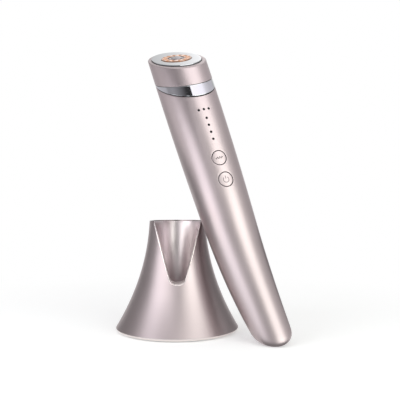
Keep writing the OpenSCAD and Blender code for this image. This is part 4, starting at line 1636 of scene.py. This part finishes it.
@dataclass
class Button:
    """A press button whose face follows the wand's skin, with its flange, stem, seal and mark."""

    form: WandForm
    place: Matrix
    bore_r: float
    height: float
    body: Body
    node: str
    mark: Mark
    radius: float = 4.36 * MM
    seal_gap: float = 0.02 * MM
    seal_depth: float = 0.2 * MM
    inset: float = 0.05 * MM
    round_edge: float = 0.35 * MM
    edge_steps: int = 5
    flange_w: float = 0.9 * MM
    flange_t: float = 0.9 * MM
    flange_gap: float = 0.3 * MM
    stem_r: float = 1.2 * MM
    stem_len: float = 0.5 * MM
    face_rings: int = 10
    sides: int = 96

    def build(self) -> None:
        """Builds the button, its seal and its mark."""
        draft = Draft(self.place)
        # The face and its rounded edge
        r, f, wide = self.radius, self.round_edge, self.radius + self.flange_w
        flat = [(r * i / self.face_rings, 0.0) for i in range(1, self.face_rings)]
        edge = bend((r, 0), (-f, 0), (0, -f), self.edge_steps)
        loops = [self.face_loop(reach, -rise) for reach, rise in [*flat, *edge]]
        # The flange behind the wall, and the stem
        level = self.form.project(wide, self.height, inset=self.form.wall).x - self.flange_gap
        under = level - self.flange_t
        profile = [(r, level), (wide, level), (wide, under), (self.stem_r, under),
                   (self.stem_r, under - self.stem_len)]
        for reach, x in profile:
            loops.append([Vector((x, p.x, self.height + p.y)) for p in ring(reach, 0.0, self.sides)])
        draft.close(draft.stack(loops))
        draft.tip(list(range(self.sides)), self.form.project(0.0, self.height, inset=self.inset))
        draft.piece(self.node.replace("button", "key_cap"), self.body, Slot.ROSE, ROSE, self.node)
        self.build_seal()
        self.mark.build(self.form, self.place, Vector((0.0, self.height)), self.body, self.inset)

    def build_seal(self) -> None:
        """Builds the dark seal in the gap round the button, which also stands in for the shade in that gap.
        """
        draft = Draft(self.place)
        inner, outer = self.radius + self.seal_gap, self.bore_r - self.seal_gap
        wall, top = self.form.wall, self.seal_depth
        profile = [(outer, wall), (outer, top), (inner, top), (inner, wall)]
        draft.stack([self.face_loop(reach, depth) for reach, depth in profile])
        draft.piece(self.node.replace("button", "key_seal_shade"), Body.WAND, Slot.RUBBER, SOFT_BLACK)

    def face_loop(self, reach: float, depth: float) -> Loop:
        """A loop round the button's middle, at a depth below its face."""
        spots = [(p.x, self.height + p.y) for p in ring(reach, 0.0, self.sides)]
        return [self.form.project(*spot, inset=self.inset) - Vector((depth, 0, 0)) for spot in spots]


@dataclass
class Lights:
    """A group of small dark light guides set in the wand's wall."""

    form: WandForm
    place: Matrix
    name: str
    node: str
    spots: Sequence[Spot]
    radius: float = 0.78 * MM
    dome: float = 0.06 * MM
    depth: float = 1.7 * MM
    sides: int = 32
    dome_shares: ClassVar[tuple[Spot, ...]] = ((1.0, 0.0), (0.92, 0.5), (0.7, 0.8), (0.35, 0.97))

    def build(self) -> None:
        """Builds the guides as one piece."""
        draft = Draft(self.place)
        profile = [(self.radius, -self.depth)]
        profile += [(self.radius * reach, self.dome * (rise - 1)) for reach, rise in self.dome_shares]
        for spot in self.spots:
            last = draft.stack([self.guide_loop(*spot, reach, rise) for reach, rise in profile])
            draft.tip(last, self.form.project(*spot))
        draft.piece(self.name, Body.WAND, Slot.GLOSS_BLACK, GUIDE_BLACK, self.node)

    def guide_loop(self, y: float, z: float, reach: float, rise: float) -> Loop:
        """A loop of the guide at a place, with its radius and its height over the skin."""
        spots = [(y + p.x, z + p.y) for p in ring(reach, 0.0, self.sides)]
        return [self.form.project(*spot) + Vector((rise, 0, 0)) for spot in spots]


@dataclass
class Wand:
    """The whole wand: its form, its place in the scene and its pieces."""

    joints: dict
    form: WandForm = WandForm()
    motor: Vector = field(default_factory=lambda: Vector((-0.423342, 0.0, 120.0)) * MM)
    power_z: float = 96 * MM
    level_z: float = 109.7 * MM
    bore_r: float = 4.74 * MM
    bore_margin: float = 0.9 * MM
    lights_z: float = 141.5 * MM
    level_pitch: float = 3.3 * MM
    mode_drop: float = 5.8 * MM
    mode_pitch: float = 4.6 * MM
    modes: int = 4
    light_r: float = 0.8 * MM
    light_bevel: float = 0.06 * MM
    light_margin: float = 0.4 * MM
    port_z: float = 30 * MM
    port_r: float = 1.85 * MM
    port_straight: float = 2.85 * MM
    port_bevel: float = 0.25 * MM

    def place(self) -> Matrix:
        """The wand's frame in the part's frame, from the axes of its joints.

        Returns:
            The matrix that takes a point of the wand's frame into the part's frame.
        """
        up = Vector(self.joints["motor_spin"]["axis"]).normalized()
        front = -Vector(self.joints["power_button_press"]["axis"]).normalized()
        side = up.cross(front).normalized()
        turn = Matrix((front, side, up)).transposed()
        origin = Vector(self.joints["motor_spin"]["pos_m"]) - turn @ self.motor
        return Matrix.Translation(origin) @ turn.to_4x4()

    def level_spots(self) -> list[Spot]:
        """Places of the level lights."""
        return [(i * self.level_pitch, self.lights_z) for i in (-1, 0, 1)]

    def mode_spots(self) -> list[Spot]:
        """Places of the mode lights."""
        first = self.lights_z - self.mode_drop
        return [(0.0, first - i * self.mode_pitch) for i in range(self.modes)]

    def openings(self) -> list[Opening]:
        """The openings for the buttons, the lights and the charging port.

        Returns:
            The openings.
        """
        bores = [Opening(0.0, z, self.bore_r, margin=self.bore_margin) for z in (self.power_z, self.level_z)]
        lights = [Opening(*spot, self.light_r, bevel=self.light_bevel, margin=self.light_margin)
                  for spot in [*self.level_spots(), *self.mode_spots()]]
        port = Opening(0.0, self.port_z, self.port_r, self.port_straight, Side.BACK, self.port_bevel)
        return [*bores, *lights, port]

    def build(self) -> None:
        """Builds every piece of the wand."""
        form, place, bore = self.form, self.place(), self.bore_r
        WandBody(form, place, self.openings()).build()
        Head(form, place).build()
        Button(form, place, bore, self.level_z, Body.LEVEL_KEY, "level_button", level_mark()).build()
        Button(form, place, bore, self.power_z, Body.POWER_KEY, "power_button", power_mark()).build()
        Lights(form, place, "level_guides", "level_lights", self.level_spots()).build()
        Lights(form, place, "mode_guides", "mode_lights", self.mode_spots()).build()


# What the frame brings


@dataclass
class Inside:
    """The frame's own nodes that stay as they are, with their finishes."""

    nodes: dict
    finishes: ClassVar[dict[Finish, tuple[str, ...]]] = {
        SOFT_BLACK: ("foot_pad", "face_seal"),
        Grained("moulded_grey", (0.18, 0.18, 0.19), 0.5): (
            "base_plate", "neck_frame", "head_carrier", "chassis"),
        TurnedMetal("turned_steel", (0.55, 0.55, 0.57), 0.32, 1.0): (
            "base_screws", "stand_weight", "head_screws", "chassis_screws", "motor_can", "motor_shaft",
            "motor_weight", "charge_port", "level_switch", "power_switch"),
        TurnedMetal("gold_plate", (0.85, 0.6, 0.25), 0.25, 1.0): ("contact_pins", "battery_tabs"),
        Board("solder_lacquer", (0.02, 0.16, 0.07), 0.35, 0.0, 0.3): (
            "lamp_board", "main_board", "charge_board"),
        Lamp("lamp_coat", (0.95, 0.85, 0.45), 0.2, 0.0, 0.4): ("head_lamps", "indicator_leds"),
        GLOSS_BLACK: ("board_chips",),
        Grained("shrink_wrap", (0.05, 0.12, 0.3), 0.35, coat=0.2, grain=1200.0): ("battery_cell",),
        Grained("lead_sleeve", (0.35, 0.03, 0.02), 0.5): (
            "battery_leads", "motor_leads", "charge_leads", "head_leads"),
    }

    def dress(self) -> None:
        """Gives each of these nodes its finish."""
        for finish, names in self.finishes.items():
            for name in names:
                mesh = self.nodes[name].data
                mesh.materials.clear()
                mesh.materials.append(finish.material())
                LOG.info("%s: %s", name, finish.name)


# The studio


def rectangle(half_w: float, half_h: float) -> list[Point]:
    """Corners of a level rectangle about the origin, counterclockwise."""
    return [(-half_w, -half_h, 0.0), (half_w, -half_h, 0.0), (half_w, half_h, 0.0), (-half_w, half_h, 0.0)]


def reflected_only(name: str, points: Sequence[Vector | Point], faces: Sequence[tuple[int, ...]],
                   glow: Callable[[Graph], dict]) -> bpy.types.Object:
    """Adds a glowing thing to the stage that only reflections show.

    Args:
        name: its name.
        points: its points.
        faces: its faces.
        glow: gives the sockets of its glow, for its material's graph.

    Returns:
        The thing.
    """
    mesh = bpy.data.meshes.new(name)
    mesh.from_pydata(points, [], faces)
    material, graph = new_material(name)
    graph.show(graph.node("Emission", {}, glow(graph)))
    mesh.materials.append(material)
    thing = bpy.data.objects.new(name, mesh)
    thing.visible_camera = False
    thing.visible_diffuse = False
    thing.visible_shadow = False
    bpy.context.scene.collection.objects.link(thing)
    return thing


@dataclass(frozen=True)
class Panel:
    """A flat panel beside the object, facing it.

    Its turn is from the camera's side toward the right and its rise is from level, both in degrees.
    """

    name: str
    turn: float
    rise: float
    width: float
    height: float
    distance: float = 0.7
    target: Point = (0.01, 0.0, 0.08)

    def spot(self) -> Matrix:
        """Its place, facing the target.

        Returns:
            The matrix that places it.
        """
        turn, rise = math.radians(self.turn), math.radians(self.rise)
        out = Vector((math.sin(turn) * math.cos(rise), -math.cos(turn) * math.cos(rise), math.sin(rise)))
        place = Vector(self.target) + out * self.distance
        return Matrix.Translation(place) @ out.to_track_quat("Z", "Y").to_matrix().to_4x4()


@dataclass(frozen=True)
class SoftLight(Panel):
    """A soft area lamp; its level is what a mirror shows of it, where 1 is white."""

    level: float = 1.0
    color: Color = (1.0, 1.0, 1.0)

    def build(self) -> None:
        """Makes the lamp."""
        lamp = bpy.data.lights.new(self.name, "AREA")
        lamp.shape = "RECTANGLE"
        lamp.size, lamp.size_y = self.width, self.height
        lamp.energy = self.level * self.width * self.height * math.pi
        lamp.color = self.color
        holder = bpy.data.objects.new(self.name, lamp)
        holder.matrix_world = self.spot()
        holder.visible_camera = False
        bpy.context.scene.collection.objects.link(holder)


@dataclass(frozen=True)
class Card(Panel):
    """A grey card that only reflections show, graded from its left to its right as the object sees it."""

    left: float = 0.3
    right: float = 0.3
    color: Color = (1.0, 1.0, 1.0)

    def build(self) -> None:
        """Makes the card."""
        corners = rectangle(self.width / 2, self.height / 2)
        reflected_only(self.name, corners, [(0, 1, 2, 3)], self.glow).matrix_world = self.spot()

    def glow(self, graph: Graph) -> dict:
        """Sockets of its glow."""
        across = graph.along((1, 0, 0)).between(-self.width / 2, self.width / 2)
        return {"Color": (*self.color, 1.0), "Strength": self.left + across * (self.right - self.left)}


@dataclass(frozen=True)
class Ribbon:
    """A bent strip that only reflections show.

    Its levels go by the angle about Z from the camera's side, in degrees toward the right.
    """

    name: str
    levels: Sequence[Spot]
    tint: Color = (1.0, 1.0, 1.0)

    def lay(self, points: Sequence[Vector]) -> bpy.types.Object:
        """Makes the strip through its lower and upper point at each step, in turn."""
        faces = [(i, i + 2, i + 3, i + 1) for i in range(0, len(points) - 2, 2)]
        return reflected_only(self.name, points, faces, self.glow)

    def glow(self, graph: Graph) -> dict:
        """Its glow, from a colour ramp over the angle.

        Args:
            graph: the material's graph.

        Returns:
            The sockets of its glow.
        """
        angle = graph.along((1, 0, 0)).math("ARCTAN2", graph.along((0, -1, 0)))
        peak = max(level for _, level in self.levels)
        stops = []
        for turn, level in self.levels:
            stops.append((turn / 360 + 0.5, tuple(level / peak * c for c in self.tint)))
        ramp = graph.node("ValToRGB", {"stops": stops}, {0: angle / FULL_TURN + 0.5})
        return {"Color": ramp.outputs[0], "Strength": peak}


@dataclass(frozen=True)
class Screen:
    """A wall bent round a place that only reflections show, with the levels of a ribbon."""

    name: str
    radius: float
    low: float
    high: float
    levels: tuple[Spot, ...]
    middle: Point = (0.0, 0.0, 0.0)
    step: float = 5.0

    def build(self) -> None:
        """Makes the wall."""
        first, last = self.levels[0][0], self.levels[-1][0]
        angles = [math.radians(turn) for turn in [*spaced(first, last, self.step), last]]
        spots = [(self.radius * math.sin(a), -self.radius * math.cos(a)) for a in angles]
        points = [Vector((*spot, z)) for spot in spots for z in (self.low, self.high)]
        Ribbon(self.name, self.levels).lay(points).location = self.middle


@dataclass
class BandStrip:
    """A strip along the mirror image that the chrome band gives, which only reflections show.

    Its levels go by the angle round the wand from the side that faces the camera, in degrees toward
    the right.
    """

    form: WandForm
    place: Matrix
    eye: Vector
    distance: float = 0.2
    half_height: float = 0.013
    step: float = 1.0
    tint: Color = (0.98, 0.94, 1.0)
    levels: tuple[Spot, ...] = (
        (-78, 0.8), (-42, 0.7), (-36, 0.45), (-25, 0.47), (-14, 0.27), (-6, 0.14), (0, 0.04), (8.2, 0.04),
        (9, 1.8), (32, 1.65), (40, 1.1), (50, 0.85), (66, 0.8))

    def rungs(self, turn: float) -> tuple[Vector, Vector]:
        """The strip's lower and upper edge.

        Args:
            turn: the angle round the wand, in degrees.

        Returns:
            The two points.
        """
        eye = self.place.inverted() @ self.eye
        angle = math.atan2(eye.y, eye.x) + math.radians(turn)
        normal = Vector((math.cos(angle), math.sin(angle), 0))
        start = normal * self.form.head_r
        start.z = (self.form.seal_plane.z(start.x) + self.form.band_plane.z(start.x, start.y)) / 2
        view = (start - eye).normalized()
        mirror = view - normal * 2 * view.dot(normal)
        up = (Vector((0, 0, 1)) - mirror * mirror.z).normalized() * self.half_height
        spot = start + mirror * self.distance
        return self.place @ (spot - up), self.place @ (spot + up)

    def build(self) -> None:
        """Makes the strip."""
        first, last = self.levels[0][0], self.levels[-1][0]
        points = [point for turn in [*spaced(first, last, self.step), last] for point in self.rungs(turn)]
        levels = []
        for turn, level in self.levels:
            spot = sum(self.rungs(turn), Vector()) / 2
            levels.append((math.degrees(math.atan2(spot.x, -spot.y)), level))
        Ribbon("band_strip", levels, self.tint).lay(points)


@dataclass
class Studio:
    """The pale floor, the soft lights and the camera."""

    form: WandForm
    wand: Matrix
    camera_at: Vector = field(default_factory=lambda: Vector((0.64, -357.9, 77.05)) * MM)
    camera_turn: float = math.radians(2.2)
    camera_rise: float = 0.0136
    lens: float = 50.4
    sensor: float = 36.0
    near: float = 0.01
    ambient: float = 0.65
    floor_half: float = 12.0
    floor_grey: float = 0.86
    floor_glow: float = 0.29
    floor_roughness: float = 0.6
    floor_fade: Spot = (0.08, 0.3)
    panels: ClassVar[tuple[Panel | Screen, ...]] = (
        SoftLight("soft_left", -55, 12, 0.48, 0.66, level=2.15, color=(0.93, 0.95, 1.0)),
        SoftLight("soft_right", 37, 9, 0.6, 0.6, level=2.5, color=(0.95, 1.0, 0.93)),
        Card("back_card", 180, 38, 0.2, 0.5, left=1.75, right=0.75),
        Card("head_card", -55, 18, 0.3, 0.2, 0.2, (0.0, 0.0, 0.205), 0.55, 0.22, (0.96, 0.95, 1.0)),
        Card("cap_light", 32, 43, 0.26, 0.15, 0.25, (-0.015, 0.0, 0.175), 2.35, 2.4),
        Card("wand_high", 39, 41, 0.24, 0.116, 0.26, (0.02, -0.02, 0.137), 2.6, 2.6, (0.97, 1.0, 0.95)),
        Card("bell_centre", 12, 0, 0.2, 0.3, 0.6, (0.0, 0.0, 0.48), 0.05, 0.05),
        Card("bell_high_left", -30, 0, 0.42, 0.24, 0.6, (0.0, 0.0, 0.44), 2.3, 2.3, (0.96, 0.98, 1.0)),
        Card("bell_low_left", -100, 0, 0.13, 0.09, 0.12, (0.0, 0.0, 0.045), 0.25, 0.25),
        Card("bell_low_right", 116, 0, 0.08, 0.08, 0.12, (0.0, 0.0, 0.04), 0.25, 0.25),
        Card("socket_left", -30, 0, 0.036, 0.03, 0.06, (0.0, 0.0, 0.064), 2.5, 2.5),
        Card("socket_middle", 6, 0, 0.012, 0.022, 0.03, (0.0, 0.0, 0.06), 0.02, 0.02),
        Card("wand_left", -92, 0, 0.35, 0.3, 0.8, (0.0, 0.0, 0.12), 1.15, 1.15),
        Card("bell_left", -80, 30, 0.2, 0.34, 0.6, (0.0, 0.0, 0.03), 0.5, 0.7),
        Card("bell_flare", 8, 58, 1.1, 0.3, 1.0, (0.0, 0.0, 0.0), 0.35, 0.35),
        Card("foot_left", -56, 3, 0.11, 0.05, 0.15, (0.047, -0.03, 0.017), 2.0, 2.0, (0.93, 0.97, 1.0)),
        Card("foot_shade", 0, 90, 0.07, 0.05, 0.0004, (0.06, -0.073, 0.0), 0.35, 0.35),
        Screen("foot_screen", 0.15, 0.06, 0.094, ((-19, 0.05), (13, 0.05)), (0.047, -0.03, 0.0)),
        Screen("tent", 0.85, -0.05, 1.6, (
            (-180, 1.0), (-152, 0.9), (-140, 0.4), (-125, 0.6), (-100, 0.75), (-84, 0.7), (-36, 0.6),
            (-26, 0.4), (-3, 0.35), (6, 0.6), (22, 0.8), (80, 0.8), (100, 0.62), (140, 0.62),
            (152, 0.9), (180, 1.0))),
    )

    def build(self) -> None:
        """Builds the studio."""
        self.build_camera()
        self.build_world()
        self.build_floor()
        for panel in self.panels:
            panel.build()
        BandStrip(self.form, self.wand, self.camera_at).build()
        bpy.context.scene.view_settings.view_transform = "Standard"

    def build_camera(self) -> None:
        """Places the camera at the photographed angle."""
        data = bpy.data.cameras.new("camera")
        data.lens, data.sensor_width = self.lens, self.sensor
        data.clip_start = self.near
        camera = bpy.data.objects.new("camera", data)
        camera.location = self.camera_at
        camera.rotation_euler = (math.pi / 2 + self.camera_rise, 0.0, -self.camera_turn)
        bpy.context.scene.collection.objects.link(camera)
        bpy.context.scene.camera = camera

    def backdrop(self, graph: Graph) -> Value:
        """Share of the white backdrop: 1 for what the camera, metal or glass sees.

        Args:
            graph: the graph that asks.

        Returns:
            The share.
        """
        path = graph.node("LightPath", {}, {})
        rays = [Value(graph, path.outputs[f"Is {kind} Ray"]) for kind in ("Camera", "Glossy", "Transmission")]
        return (rays[0] + rays[1] + rays[2]).math("MINIMUM", 1.0)

    def build_world(self) -> None:
        """Makes a white backdrop over a softer ambient light."""
        world = bpy.data.worlds.new("studio")
        world.use_nodes = True
        graph = Graph(world.node_tree)
        level = self.ambient + self.backdrop(graph) * (1 - self.ambient)
        sockets = {"Color": (1.0, 1.0, 1.0, 1.0), "Strength": level}
        graph.show(graph.node("Background", {}, sockets), "OutputWorld")
        world.cycles.sampling_method = "NONE"
        bpy.context.scene.world = world

    def build_floor(self) -> None:
        """Lays the pale floor, which keeps the object's shadow."""
        mesh = bpy.data.meshes.new("floor")
        mesh.from_pydata(rectangle(self.floor_half, self.floor_half), [], [(0, 1, 2, 3)])
        material, graph = new_material("pale_floor")
        reach = graph.value("VectorMath", {"operation": "LENGTH"}, {0: graph.place()}, "Value")
        far = reach.between(*self.floor_fade)
        sockets = {
            "Base Color": graph.mix(far, (self.floor_grey,) * 3, (0.0, 0.0, 0.0)),
            "Specular IOR Level": 0.0,
            "Roughness": self.floor_roughness,
            "Emission Color": (1.0, 1.0, 1.0, 1.0),
            "Emission Strength": self.backdrop(graph) * (self.floor_glow + far * (1 - self.floor_glow)),
        }
        graph.show(graph.node("BsdfPrincipled", {}, sockets))
        mesh.materials.append(material)
        floor = bpy.data.objects.new("floor", mesh)
        bpy.context.scene.collection.objects.link(floor)


def main() -> None:
    """Loads the frame and builds the object and the studio."""
    logging.basicConfig(level=logging.INFO, format="%(message)s")
    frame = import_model()
    Inside(frame["nodes"]).dress()
    Stand().build()
    wand = Wand({joint["name"]: joint for joint in frame["joints"]})
    wand.build()
    Studio(wand.form, wand.place()).build()


if __name__ == "__main__":
    main()
